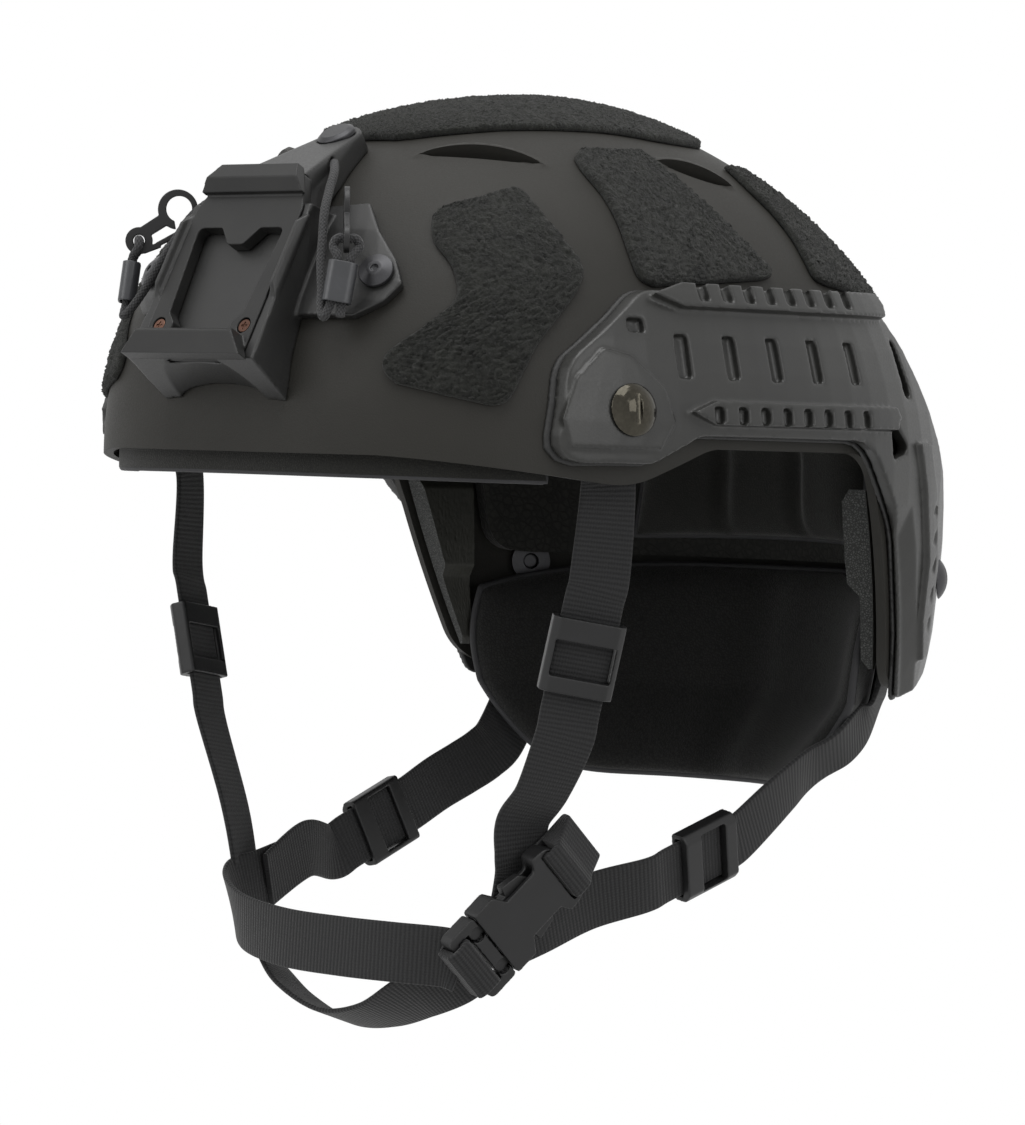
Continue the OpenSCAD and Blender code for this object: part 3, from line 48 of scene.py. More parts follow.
# The domed skin: its reach to the side, front, back and crown, and the wall
HALF_W, FRONT, BACK, CROWN, WALL = 113, 145.5, 142.5, 117.6, 3.2
FRONT_PLAN, BACK_PLAN, FRONT_ROUND, BACK_ROUND = 2.7, 2.25, 2.19, 1.72
DROP, TAPER = 80.5, 0.058
SEAT = 0.3


def cosd(a):
    return np.cos(np.radians(a))


def sind(a):
    return np.sin(np.radians(a))


def plan(s):
    return np.where(s < 0, FRONT_PLAN, BACK_PLAN)


def reach(s):
    return np.where(s < 0, FRONT, BACK)


def rise(s):
    return (FRONT_ROUND + BACK_ROUND) / 2 - s * (FRONT_ROUND - BACK_ROUND) / 2


def ring(b):
    n = plan(sind(b))
    return (np.abs(cosd(b)) ** n + np.abs(sind(b)) ** n) ** (-1 / n)


def draw_in(s, z):
    n = rise(s)
    above = np.clip(z, 0, CROWN) / CROWN
    return np.where(z < 0, 1 - TAPER * (z / DROP) ** 2, np.clip(1 - above ** n, 0, 1) ** (1 / n))


def lay(b, z, off=0):
    """Point at a bearing and height, moved outwards along the skin's normal by off."""
    b, z, off = np.broadcast_arrays(np.asarray(b, float), np.asarray(z, float), np.asarray(off, float))
    s = sind(b)
    k = draw_in(s, z)
    r = ring(b) * k
    point = np.stack([HALF_W * r * cosd(b), reach(s) * r * s, z], -1)
    return point + skin_normal(b, z) * off[..., None]


def skin_normal(b, z):
    s = sind(b)
    n, m = rise(s), plan(s)
    k = np.clip(draw_in(s, z), 0.001, 1)
    u, v = k * ring(b) * cosd(b), k * ring(b) * s
    q = k ** (n - m)
    g = np.stack([q * np.sign(u) * np.abs(u) ** (m - 1) / HALF_W,
                  q * np.sign(v) * np.abs(v) ** (m - 1) / reach(v),
                  (np.clip(z, 0, CROWN) / CROWN) ** (n - 1) / CROWN], -1)
    return g / np.linalg.norm(g, axis=-1, keepdims=True)


def bearing_at(y, z=0.0):
    y, z = np.asarray(y, float), np.asarray(z, float)
    v = y / reach(y) / draw_in(y / reach(y), z)
    m = plan(y)
    return np.degrees(np.arctan2(v, np.clip(1 - np.abs(v) ** m, 0, 1) ** (1 / m)))


def crown_lay(x, y, off):
    """The same near the crown, by its place in plan."""
    x, y, off = np.broadcast_arrays(np.asarray(x, float), np.asarray(y, float), np.asarray(off, float))
    b = np.degrees(np.arctan2(y / reach(y), x / HALF_W))
    n, m = rise(sind(b)), plan(y)
    k = (np.abs(x / HALF_W) ** m + np.abs(y / reach(y)) ** m) ** (1 / m)
    return lay(b, CROWN * (1 - k ** n) ** (1 / n), off)


def stand(b, z):
    """Origin and axes on the skin: X level, Y up the skin, Z outwards."""
    n = skin_normal(b, z)
    x = np.cross([0, 0, 1], n)
    x /= np.linalg.norm(x)
    return lay(b, z), x, np.cross(n, x), n


# Meshes
def build(name, points, faces, finish, uv=None, angle=34):
    """Object from points in millimetres, smooth except over edges sharper than angle."""
    mesh = bpy.data.meshes.new(name)
    mesh.from_pydata((np.asarray(points).reshape(-1, 3) * MM).tolist(), [], faces)
    mesh.validate()
    soften(mesh, angle)
    if uv is not None:
        layer = mesh.uv_layers.new(name="along_across")
        corner = np.empty(len(mesh.loops), np.int32)
        mesh.loops.foreach_get("vertex_index", corner)
        layer.data.foreach_set("uv", np.asarray(uv, np.float32).reshape(-1, 2)[corner].ravel())
    piece = bpy.data.objects.new(name, mesh)
    bpy.context.scene.collection.objects.link(piece)
    mesh.materials.append(finish)
    return piece


def soften(mesh, angle):
    """Smooth shading, except over edges sharper than angle."""
    mesh.shade_smooth()
    mesh.set_sharp_from_angle(angle=math.radians(angle))


def stands_for(piece, slot, *nodes):
    """The piece rides with the solids that it replaces."""
    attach(piece, body_of[nodes[0]])
    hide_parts(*nodes)
    return piece


def grid_faces(rows, cols, start=0, around=False, flip=False):
    """Quads of a grid of points; around joins its last column to its first."""
    faces = []
    for i in range(rows - 1):
        for j in range(cols if around else cols - 1):
            a, b = start + i * cols + j, start + i * cols + (j + 1) % cols
            quad = (a, b, b + cols, a + cols)
            faces.append(quad[::-1] if flip else quad)
    return faces


def capped(rows, cols):
    """Faces of a grid that is closed round and capped at both ends."""
    ends = [tuple(range(cols))[::-1], tuple(range((rows - 1) * cols, rows * cols))]
    return grid_faces(rows, cols, around=True) + ends


def rim_of(rows, cols):
    """Row and column of each point round a grid's edge."""
    edge = [(0, j) for j in range(cols)] + [(i, cols - 1) for i in range(1, rows)]
    edge += [(rows - 1, j) for j in range(cols - 2, -1, -1)]
    return edge + [(i, 0) for i in range(rows - 2, 0, -1)]


def slab(outer, inner):
    """Points and faces of a closed solid between two grids; columns run anticlockwise seen from outside."""
    rows, cols = outer.shape[:2]
    total = rows * cols
    edge = [i * cols + j for i, j in rim_of(rows, cols)]
    walls = [(p, p + total, q + total, q) for p, q in zip(edge, edge[1:] + edge[:1])]
    faces = grid_faces(rows, cols) + grid_faces(rows, cols, total, flip=True) + walls
    return np.concatenate([outer.reshape(-1, 3), inner.reshape(-1, 3)]), faces


def mirrored(points, faces):
    return np.asarray(points) * [-1, 1, 1], [face[::-1] for face in faces]


def spline(rows, steps):
    rows = np.asarray(rows, float)
    last = len(rows) - 1
    path = []
    for i in range(last):
        a, b, c, d = rows[max(0, i - 1)], rows[i], rows[i + 1], rows[min(last, i + 2)]
        for t in np.arange(steps) / steps:
            path.append(0.5 * (2 * b + (c - a) * t + (2 * a - 5 * b + 4 * c - d) * t * t
                               + (3 * b - a - 3 * c + d) * t ** 3))
    return np.array(path + [rows[last]])


def even(path, step):
    """The same path, with points a step apart."""
    length = np.concatenate([[0], np.cumsum(np.linalg.norm(np.diff(path[:, :3], axis=0), axis=1))])
    n = max(2, int(round(length[-1] / step)) + 1)
    at = np.linspace(0, length[-1], n)
    return np.stack([np.interp(at, length, path[:, k]) for k in range(path.shape[1])], -1), at


def unit(v):
    return v / np.linalg.norm(v, axis=-1, keepdims=True)


def cut(piece, points, faces):
    """Takes a closed form away from the piece."""
    tool = bpy.data.meshes.new("tool")
    tool.from_pydata((np.asarray(points) * MM).tolist(), [], faces)
    cutter = bpy.data.objects.new("tool", tool)
    bpy.context.scene.collection.objects.link(cutter)
    change = piece.modifiers.new("cut", "BOOLEAN")
    change.operation, change.object, change.solver = "DIFFERENCE", cutter, "MANIFOLD"
    settle(piece)
    bpy.data.objects.remove(cutter)


def settle(piece):
    """Applies the piece's modifiers to its mesh."""
    bpy.context.view_layer.update()
    seen = piece.evaluated_get(bpy.context.evaluated_depsgraph_get())
    mesh = bpy.data.meshes.new_from_object(seen)
    piece.modifiers.clear()
    piece.data = mesh


def round_bar(p, q, r, sides):
    """Points and faces of a closed cylinder from p to q."""
    p, q = np.asarray(p, float), np.asarray(q, float)
    d = unit(q - p)
    x = unit(np.cross(d, [0, 0, 1] if abs(d[2]) < 0.9 else [1, 0, 0]))
    y = np.cross(d, x)
    turn = np.arange(sides) * 2 * np.pi / sides
    rim = r * (np.cos(turn)[:, None] * x + np.sin(turn)[:, None] * y)
    return np.concatenate([p + rim, q + rim]), capped(2, sides)


def moulded_copy(node, finish, slot, voxel, passes):
    """A moulded part from its solid, with the edges eased as they come from a mould."""
    mesh = frame["nodes"][node].data.copy()
    piece = bpy.data.objects.new(node + "_moulded", mesh)
    bpy.context.scene.collection.objects.link(piece)
    weld = piece.modifiers.new("weld", "WELD")
    weld.merge_threshold = 0.01 * MM
    again = piece.modifiers.new("remesh", "REMESH")
    again.mode, again.voxel_size, again.use_smooth_shade = "VOXEL", voxel * MM, True
    ease = piece.modifiers.new("ease", "SMOOTH")
    ease.factor, ease.iterations = 0.5, passes
    settle(piece)
    piece.data.materials.clear()
    piece.data.materials.append(finish)
    soften(piece.data, 60)
    stands_for(piece, slot, node)


# Finishes
def linear(code):
    """sRGB hex to linear RGBA."""
    parts = [int(code[i:i + 2], 16) / 255 for i in (1, 3, 5)]
    return (*(c / 12.92 if c <= 0.04045 else ((c + 0.055) / 1.055) ** 2.4 for c in parts), 1)


def add(tree, kind, settings=None, links=None):
    """Adds a node, sets its properties and sockets, and links its inputs."""
    node = tree.nodes.new("ShaderNode" + kind)
    for key, value in (settings or {}).items():
        if isinstance(key, str) and hasattr(node, key):
            setattr(node, key, value)
        else:
            node.inputs[key].default_value = value
    for key, source in (links or {}).items():
        tree.links.new(source, node.inputs[key])
    return node


def blank(name):
    """New material, its node tree and its shader."""
    finish = bpy.data.materials.new(name)
    finish.use_nodes = True
    return finish, finish.node_tree, finish.node_tree.nodes["Principled BSDF"]


def two_tones(tree, shader, light, dark, share):
    """Base colour between two tones, by a share from 0 to 1."""
    tone = add(tree, "Mix", {"data_type": "RGBA", 6: linear(dark), 7: linear(light)}, {0: share.outputs[0]})
    tree.links.new(tone.outputs[2], shader.inputs["Base Color"])


def relief(tree, shader, height, depth, strength):
    """Bump of a depth in mm."""
    bump = add(tree, "Bump", {"Strength": strength, "Distance": depth * MM}, {"Height": height})
    tree.links.new(bump.outputs[0], shader.inputs["Normal"])


def sheen_and_gloss(shader, rough, sheen, gloss):
    shader.inputs["Roughness"].default_value = rough
    shader.inputs["Sheen Weight"].default_value = sheen
    shader.inputs["Specular IOR Level"].default_value = gloss


def grained(name, light, dark, rough, grain, depth, metallic=0.0, patch=18, spread=0.06, gloss=0.5):
    """A hard finish: colour drifting between two tones, a fine grain in mm and roughness that varies."""
    finish, tree, shader = blank(name)
    where = add(tree, "TexCoord").outputs["Object"]
    drift = add(tree, "TexNoise", {"Scale": 1 / (patch * MM), "Detail": 3}, {"Vector": where})
    fine = add(tree, "TexNoise", {"Scale": 1 / (grain * MM), "Detail": 2, "Roughness": 0.6},
               {"Vector": where}).outputs["Fac"]
    both = add(tree, "Math", {"operation": "MULTIPLY_ADD", 1: 0.45}, {0: fine, 2: drift.outputs["Fac"]})
    share = add(tree, "MapRange", {"From Min": 0.45, "From Max": 1.0}, {"Value": both.outputs[0]})
    two_tones(tree, shader, light, dark, share)
    limits = {"From Min": 0.3, "From Max": 0.7, "To Min": rough - spread, "To Max": rough + spread}
    matt = add(tree, "MapRange", limits, {"Value": fine})
    tree.links.new(matt.outputs[0], shader.inputs["Roughness"])
    shader.inputs["Metallic"].default_value = metallic
    shader.inputs["Specular IOR Level"].default_value = gloss
    relief(tree, shader, fine, depth, 1.0)
    return finish


# Matt coat sprayed on the moulded laminate: warm dark grey with a fine dry grain
shell_coat = grained("matt_sprayed_coat", "#2c2b28", "#242320", 0.6, 0.6, 0.06, patch=40, gloss=0.22)
# Glass-filled nylon of the rails: a little lighter and smoother than the coat, so that edges catch light
rail_nylon = grained("moulded_rail_nylon", "#2e2e2c", "#262625", 0.38, 0.6, 0.03, patch=30, gloss=0.4)
# Rubber of the gasket: black, soft and dull; the black seal also stands in as painted shade for the dark gap
# between the rails and the shell
gasket_rubber_and_gap_shade = grained("black_seal_rubber_and_gap_shade", "#1d1d1c", "#151515", 0.6, 0.8, 0.03)
# Black nickel on the rails' front bolts: smooth, dark and mirror bright
bolt_nickel = grained("black_nickel_plate", "#4d4a42", "#312f2a", 0.12, 1.2, 0.004, metallic=1.0, spread=0.04)
# Blackened steel of the mount's and the rails' rear bolts, nuts and posts: satin, drifting in tone
black_steel = grained("blackened_steel", "#4a4a4c", "#2f2f31", 0.42, 0.5, 0.012, metallic=0.7)
# Nylon of the mount's base: darker than the rails
mount_nylon = grained("moulded_mount_nylon", "#272726", "#1f1f1f", 0.42, 0.6, 0.03, patch=22, gloss=0.4)
# Hard-coated aluminium insert: near black with a silky face
insert_coat = grained("hard_coated_insert", "#232322", "#1b1b1b", 0.42, 0.45, 0.02, patch=14, gloss=0.3)
# Copper-coloured plating of the two cross screws
copper_plate = grained("copper_plate", "#6d5044", "#46332b", 0.4, 0.4, 0.01, metallic=1.0)
# Heat-shrunk sleeve: smooth grey plastic with a soft sheen
shrink_sleeve = grained("heat_shrunk_sleeve", "#38393c", "#2f3032", 0.36, 1.5, 0.05, patch=8)
# Acetal of hooks, locks and buckle: dark, slightly waxy
acetal = grained("moulded_acetal", "#1f1f20", "#191919", 0.42, 0.7, 0.02, patch=12, gloss=0.35)
# Nylon of the yoke, the dial and its housing at the back
knob_nylon = grained("moulded_dial_nylon", "#2b2b2d", "#222224", 0.5, 0.6, 0.03)


def pile_finish():
    """Brushed nylon loops: thousands of small curls, with painted highlight at their tips and painted shade
    between them, over a tone that drifts from tuft to tuft.
    """
    finish, tree, shader = blank("brushed_loop_pile_painted_shade")
    where = add(tree, "TexCoord").outputs["Object"]
    fine = {"Scale": 1 / (0.8 * MM), "Detail": 4, "Roughness": 0.75, "Distortion": 0.2}
    curl = add(tree, "TexNoise", fine, {"Vector": where}).outputs["Fac"]
    tuft = add(tree, "TexNoise", {"Scale": 1 / (6 * MM), "Detail": 2}, {"Vector": where})
    both = add(tree, "Math", {"operation": "MULTIPLY_ADD", 1: 0.5}, {0: tuft.outputs["Fac"], 2: curl})
    share = add(tree, "MapRange", {"From Min": 0.55, "From Max": 0.95}, {"Value": both.outputs[0]})
    # painted highlight on the curls' tips and painted shade between them, driven by the noise that also
    # raises the curls
    two_tones(tree, shader, "#292a26", "#090a08", share)
    sheen_and_gloss(shader, 0.9, 0.12, 0.25)
    shader.inputs["Sheen Roughness"].default_value = 0.5
    relief(tree, shader, curl, 0.9, 1.0)
    return finish


def woven_finish(name, light, dark, across, along, depth, ribbed):
    """Woven nylon, by the length and width of the band in mm: the pitch of its threads across and along."""
    finish, tree, shader = blank(name)
    where = add(tree, "UVMap", {"uv_map": "along_across"}).outputs[0]
    split = add(tree, "SeparateXYZ", None, {0: where})
    waves = []
    for axis, pitch in ((0, along), (1, across)):
        turn = add(tree, "Math", {"operation": "MULTIPLY", 1: 2 * math.pi / pitch}, {0: split.outputs[axis]})
        waves.append(add(tree, "Math", {"operation": "SINE"}, {0: turn.outputs[0]}).outputs[0])
    if ribbed:
        # ribs across the band, with fine threads along them
        weave = add(tree, "Math", {"operation": "MULTIPLY_ADD", 1: 0.3}, {0: waves[1], 2: waves[0]})
    else:
        # a check of raised strands, as on a braid
        weave = add(tree, "Math", {"operation": "MULTIPLY"}, {0: waves[0], 1: waves[1]})
    fuzz = add(tree, "TexNoise", {"Scale": 1.6, "Detail": 3}, {"Vector": where})
    high = add(tree, "Math", {"operation": "MULTIPLY_ADD", 1: 0.35},
               {0: weave.outputs[0], 2: fuzz.outputs["Fac"]}).outputs[0]
    share = add(tree, "MapRange", {"From Min": 0.15, "From Max": 0.85}, {"Value": high})
    # colour lighter where the weave stands high and darker in its hollows: painted highlight and painted
    # shade of the weave
    two_tones(tree, shader, light, dark, share)
    sheen_and_gloss(shader, 0.78, 0.15, 0.35)
    relief(tree, shader, high, depth, 0.9)
    return finish


def cell_finish(name, light, dark, cell, depth, low, high, sheen=0.1):
    """A surface of small cells in mm: open mesh, or the beads of cut foam."""
    finish, tree, shader = blank(name)
    where = add(tree, "TexCoord").outputs["Object"]
    cells = add(tree, "TexVoronoi", {"feature": "DISTANCE_TO_EDGE", "Scale": 1 / (cell * MM)},
                {"Vector": where})
    fleck = add(tree, "TexNoise", {"Scale": 1 / (cell * 0.5 * MM), "Detail": 3}, {"Vector": where})
    edge = add(tree, "MapRange", {"From Min": 0.0, "From Max": 0.22}, {"Value": cells.outputs[0]})
    both = add(tree, "Math", {"operation": "MULTIPLY"},
               {0: edge.outputs[0], 1: fleck.outputs["Fac"]}).outputs[0]
    share = add(tree, "MapRange", {"From Min": low, "From Max": high}, {"Value": both})
    two_tones(tree, shader, light, dark, share)
    sheen_and_gloss(shader, 0.85, sheen, 0.3)
    relief(tree, shader, both, depth, 0.8)
    return finish


loop_pile = pile_finish()
# Flat nylon webbing: close ribs across it and fine threads along it, with painted highlight on the ribs and
# painted shade between them
nylon_webbing = woven_finish("woven_nylon_webbing_painted_shade", "#242425", "#0f0f10", 0.9, 1.5, 0.2, ribbed=True)
# Braid of the bungee cords: painted highlight on the raised strands and painted shade in the near-black
# ground between them
cord_braid = woven_finish("braided_cord_cover_painted_shade", "#3d3d3e", "#0f0f10", 1.2, 1.4, 0.25, ribbed=False)
# Spacer mesh of the nape pad: black, in small cells with darker lines between them
spacer_mesh = cell_finish("black_spacer_mesh", "#1d1d1c", "#0b0b0a", 1.1, 0.25, 0.05, 0.45)
# Knitted cover of the inner pads: olive black, with a soft sheen that dulls it
knit_cover = cell_finish("knitted_pad_cover", "#1e1e1a", "#121210", 0.9, 0.15, 0.1, 0.6, sheen=0.2)
# Edge tape that binds the pads: a fine close texture, a little lighter than the mesh
edge_tape = grained("bound_edge_tape", "#2e2e30", "#202022", 0.75, 0.7, 0.12)
# Beaded foam of the liner: dark olive beads with darker lines between them
beaded_foam = cell_finish("beaded_liner_foam", "#20201d", "#161614", 2.6, 0.25, 0.1, 0.5)
# The same foam where it is cut: paler flecks
cut_foam = cell_finish("cut_foam_face", "#5c5d5c", "#2b2c2b", 0.9, 0.2, 0.25, 0.75)
# The moulded skin of that foam: smooth, dull and slightly olive
foam_skin = grained("moulded_foam_skin", "#30302a", "#272722", 0.62, 1.5, 0.05, patch=25)

# Shell: the line of its edge over the brow, the ear and the nape
TEMPLE_DIP, TEMPLE_Y, ARCH_H, ARCH_FRONT, ARCH_BACK, TIP_Y, NAPE = 8, 72, 4.8, 40, 40, 70, 58
BRIM_FLAT = 10
FORE_Y, AFT_Y = TEMPLE_Y + 14, TIP_Y + 16


def brim_height(y):
    return -np.maximum(0, y + FRONT - BRIM_FLAT) * TEMPLE_DIP / (FRONT - BRIM_FLAT - TEMPLE_Y)


def nape_height(y):
    u = np.clip((y - TIP_Y) / (BACK - TIP_Y), 0, 1)
    return -DROP + (DROP - NAPE) * (1 - (1 - u) ** 2)


def rounded(path, n):
    """Path with its inner corners rounded; each corner is [along, up, radius]."""
    out = []
    for i, (x, y, r) in enumerate(path):
        if not r:
            out.append(np.array([x, y], float))
            continue
        o = np.array([x, y], float)
        u, v = unit(np.array(path[i - 1][:2]) - o), unit(np.array(path[(i + 1) % len(path)][:2]) - o)
        half = math.acos(np.clip(u @ v, -1, 1)) / 2
        c = o + unit(u + v) * r / math.sin(half)
        s, e = o + u * r / math.tan(half) - c, o + v * r / math.tan(half) - c
        start = math.atan2(s[1], s[0])
        sweep = (math.atan2(e[1], e[0]) - start + math.pi) % (2 * math.pi) - math.pi
        out += [c + r * np.array([math.cos(start + sweep * k / n), math.sin(start + sweep * k / n)])
                for k in range(n + 1)]
    return np.array(out)


ear_corners = [[-FORE_Y, float(brim_height(-FORE_Y)), 0], [-TEMPLE_Y, -TEMPLE_DIP, 34],
               [-ARCH_FRONT, ARCH_H, 26], [ARCH_BACK, ARCH_H, 16],
               [ARCH_BACK + 9, -DROP * 0.22, 50], [TIP_Y, -DROP, 17], [AFT_Y, float(nape_height(AFT_Y)), 0]]


def half_edge():
    """The shell's edge as [bearing, height] rows, from the brow's middle round the left ear to the nape's."""
    front_b = np.linspace(-90, float(bearing_at(-FORE_Y)), 40)[:-1]
    front = np.stack([front_b, brim_height(lay(front_b, 0)[:, 1])], -1)
    ear, _ = even(rounded(ear_corners, 14), 1.6)
    side = np.stack([bearing_at(ear[:, 0], ear[:, 1]), ear[:, 1]], -1)
    back_b = np.linspace(float(bearing_at(AFT_Y)), 90, 34)[1:]
    back = np.stack([back_b, nape_height(lay(back_b, 0)[:, 1])], -1)
    return np.concatenate([front, side, back])


def whole_loop(half):
    """The loop round the helmet, from the [bearing, height] rows of its left half."""
    return np.concatenate([half, half[-2:0:-1] * [-1, 1] + [180, 0]])


# Vents as [bearing, height, turn, length], each a lens-shaped slot under a raised hood
VENTS = [(-53.5, 95.6, -3, 40), (-0.5, 93.6, -15, 33)]
VENT_W, HOOD, HOOD_LONG, HOOD_WIDE, HOOD_SLOPE = 5.4, 2.2, 1.14, 2.1, 2.6


def vent_axes(vent):
    """Middle of a left vent, and axes along it, across it and outwards."""
    origin, x, y, n = stand(vent[0], vent[1])
    c, s = cosd(vent[2]), sind(vent[2])
    return origin, x * c + y * s, y * c - x * s, n


def hood_height(points):
    """How far the hoods above the vents stand off the skin."""
    rise_by = np.zeros(points.shape[:-1])
    for vent in VENTS:
        length = vent[3]
        span, wide = length * HOOD_LONG, VENT_W * HOOD_WIDE
        r = (span ** 2 / 4 + wide ** 2 / 4) / wide
        origin, x, y, n = vent_axes(vent)
        for side in (1, -1):
            away = points * [side, 1, 1] - origin
            px, py = away @ x, away @ y
            near = (np.abs(away @ n) < 14) & (np.abs(px) < length * 0.58) & (np.abs(py) < 16)
            inside = r - np.hypot(px, py - VENT_W * 0.2 + r - wide / 2)
            up = np.clip(inside / HOOD_SLOPE, 0, 1)
            ends = np.clip(1 - (px / (0.55 * length)) ** 2, 0, 1) ** 0.6
            below = np.clip((py + 1.2) / 1.2, 0, 1)
            rise_by += np.where(near, HOOD * up * up * (3 - 2 * up) * ends * below, 0)
    return rise_by


def lens_bar(vent, side, deep, n=40):
    """Closed bar with the outline of a vent's slot, reaching deep mm to both sides of the skin."""
    origin, x, y, normal = vent_axes(vent)
    length = vent[3]
    r = (length ** 2 / 4 + VENT_W ** 2 / 4) / VENT_W
    half = math.asin(length / 2 / r)
    turn = np.linspace(-half, half, n)
    top = np.stack([r * np.sin(turn), r * np.cos(turn) - r + VENT_W / 2], -1)
    low = np.stack([r * np.sin(-turn[1:-1]), r - VENT_W / 2 - r * np.cos(turn[1:-1])], -1)
    loop = np.concatenate([top, low])[::-1]
    flat = origin + loop[:, :1] * x + loop[:, 1:] * y
    points = np.concatenate([flat - normal * deep, flat + normal * deep])
    faces = capped(2, len(loop))
    return mirrored(points, faces) if side < 0 else (points, faces)


def open_vents(piece, deep):
    """Cuts the slots of all four vents."""
    for vent in VENTS:
        for side in (1, -1):
            cut(piece, *lens_bar(vent, side, deep))


def dome_rows(edge, rows):
    """Bearings and heights of a grid from an edge to just short of the crown's middle."""
    cols = len(edge)
    t = (np.linspace(0, 1, rows) ** 0.9)[:, None]
    target = -90 + 360 * np.arange(cols) / cols
    z = edge[None, :, 1] + (CROWN - 0.02 - edge[None, :, 1]) * np.sin(t * np.pi / 2)
    return edge[None, :, 0] + (target - edge[:, 0])[None, :] * t ** 1.5, z, t


def dome_between(outer, inner):
    """Points and faces of a closed dome between two such grids."""
    rows, cols = outer.shape[:2]
    total = rows * cols
    faces = grid_faces(rows, cols, around=True) + grid_faces(rows, cols, total, around=True, flip=True)
    faces += [(j, j + total, (j + 1) % cols + total, (j + 1) % cols) for j in range(cols)]
    last = (rows - 1) * cols
    faces += [tuple(last + j for j in range(cols)), tuple(total + last + j for j in range(cols))[::-1]]
    return np.concatenate([outer.reshape(-1, 3), inner.reshape(-1, 3)]), faces


def make_shell():
    b, z, _ = dome_rows(whole_loop(half_edge()), 150)
    points, faces = dome_between(lay(b, z, hood_height(lay(b, z))), lay(b, z, -WALL))
    piece = build("shell_skin", points, faces, shell_coat, angle=40)
    open_vents(piece, 16)
    soften(piece.data, 40)
    stands_for(piece, "shell", "shell")


make_shell()

# Loop patches: their thickness and the step between loops
PILE, PILE_STEP = 2.5, 0.62


def stretch(rows, n):
    """n rows along a smooth path through the given ones."""
    path, _ = even(np.pad(spline(rows, 12), ((0, 0), (0, 1))), 0.4)
    at = np.linspace(0, len(path) - 1, n)
    return np.stack([np.interp(at, np.arange(len(path)), path[:, k]) for k in range(2)], -1)


def pile_slab(lay_at, rows, cols):
    """Points and faces of a patch: full in the middle, rolled down at its edge, with loops standing up."""
    v, u = np.meshgrid(np.linspace(0, 1, rows), np.linspace(0, 1, cols), indexing="ij")
    near = np.minimum(np.minimum(u, 1 - u) * (cols - 1), np.minimum(v, 1 - v) * (rows - 1))
    shoulder = np.sqrt(np.clip(1 - (1 - np.clip(near / 2.5, 0, 1)) ** 2, 0, 1))
    tufts = dice.normal(0, 0.3, (rows, cols)).clip(-0.7, 0.7)
    height = SEAT + (PILE - 0.45) * (0.35 + 0.65 * shoulder) + tufts * (0.3 + 0.7 * shoulder)
    sway = dice.normal(0, 0.24, (rows, cols, 2)).clip(-0.5, 0.5) / [cols - 1, rows - 1]
    sway[0], sway[-1], sway[:, 0], sway[:, -1] = 0, 0, 0, 0
    outer = lay_at(u + sway[..., 0], v + sway[..., 1], height)
    return slab(outer, lay_at(u, v, np.full_like(u, SEAT)))


def add_patch(name, points, faces, node):
    """A loop patch that stands for its node."""
    stands_for(build(name, points, faces, loop_pile, angle=180), "loop_pile", node)


def side_patch(name, front, back, node, both=True):
    """Patch between a front and a back edge of [bearing, height] rows."""
    n = 400
    front, back = stretch(front, n), stretch(back, n)
    at = np.linspace(0, 1, n)

    def lay_at(u, v, off):
        f = np.stack([np.interp(v, at, front[:, k]) for k in range(2)], -1)
        g = np.stack([np.interp(v, at, back[:, k]) for k in range(2)], -1)
        q = f + (g - f) * u[..., None]
        return lay(q[..., 0], q[..., 1], off)

    ends = lay_at(np.array([0.0, 1.0, 0.5, 0.5]), np.array([0.5, 0.5, 0.0, 1.0]), 0)
    cols = int(np.linalg.norm(ends[0] - ends[1]) / PILE_STEP)
    rows = int(np.linalg.norm(ends[2] - ends[3]) / PILE_STEP)
    points, faces = pile_slab(lay_at, rows, cols)
    if both:
        add_patch(name + "_left", points, faces, node + "_left")
        add_patch(name + "_right", *mirrored(points, faces), node + "_right")
    else:
        add_patch(name, points, faces, node)


side_patch("patch_front",
           [[-58.7, 22], [-60.6, 26], [-60.2, 31.5], [-55.9, 39], [-52.4, 46], [-51.6, 51], [-53.1, 59],
            [-56.5, 66.5], [-57.7, 73.9], [-55.3, 77.4]],
           [[-46.1, 16.1], [-43.9, 17.7], [-42, 26.9], [-40.3, 35.4], [-36.7, 47], [-34.8, 53.6], [-34.3, 60],
            [-37.5, 69.5], [-43, 81.6], [-45.6, 84]], "loop_front")
side_patch("patch_mid",
           [[-23.4, 54.6], [-25.6, 57.4], [-26.7, 65], [-27.7, 74.5], [-29.6, 83.4], [-32.8, 91.4],
            [-33.6, 95.8], [-31.3, 98]],
           [[-1.2, 58.8], [2, 60.6], [1.1, 65.2], [-2.6, 74.7], [-6.3, 82.8], [-10.9, 91.6], [-13.8, 96.6],
            [-16.6, 98.8]], "loop_mid")
side_patch("patch_rear",
           [[17.2, 58.6], [14.2, 60.8], [14.6, 67], [15.6, 74], [16, 82], [15.8, 90], [17.8, 96.8]],
           [[42.7, 53], [42.5, 56], [40.6, 63.5], [38.8, 71], [36, 79.5], [32.5, 88.6], [27.9, 96.4]],
           "loop_rear")
side_patch("patch_back",
           [[78 + 3 * (abs(z + 7) / 41) ** 6, z] for z in (-48, -44, -20, 0, 4, 9, 15, 21, 28, 33)],
           [[102 - 3 * (abs(z + 7) / 41) ** 6, z] for z in (-48, -44, -20, 0, 4, 9, 15, 21, 28, 33)],
           "loop_back", both=False)

CROWN_ROWS = [[-83, 12], [-80, 20], [-72, 31], [-61, 39.5], [-50, 45], [-38, 48.4], [-26, 50], [-14, 51],
              [-2, 51.5], [10, 50.5], [20, 48], [28, 44], [31, 38]]


def make_top_patch():
    rows = stretch(CROWN_ROWS, 400)
    at = np.linspace(0, 1, 400)

    def lay_at(u, v, off):
        y, half = (np.interp(v, at, rows[:, k]) for k in range(2))
        return crown_lay(half * (2 * u - 1), y, off)

    add_patch("patch_top", *pile_slab(lay_at, 190, 165), "loop_top")


make_top_patch()

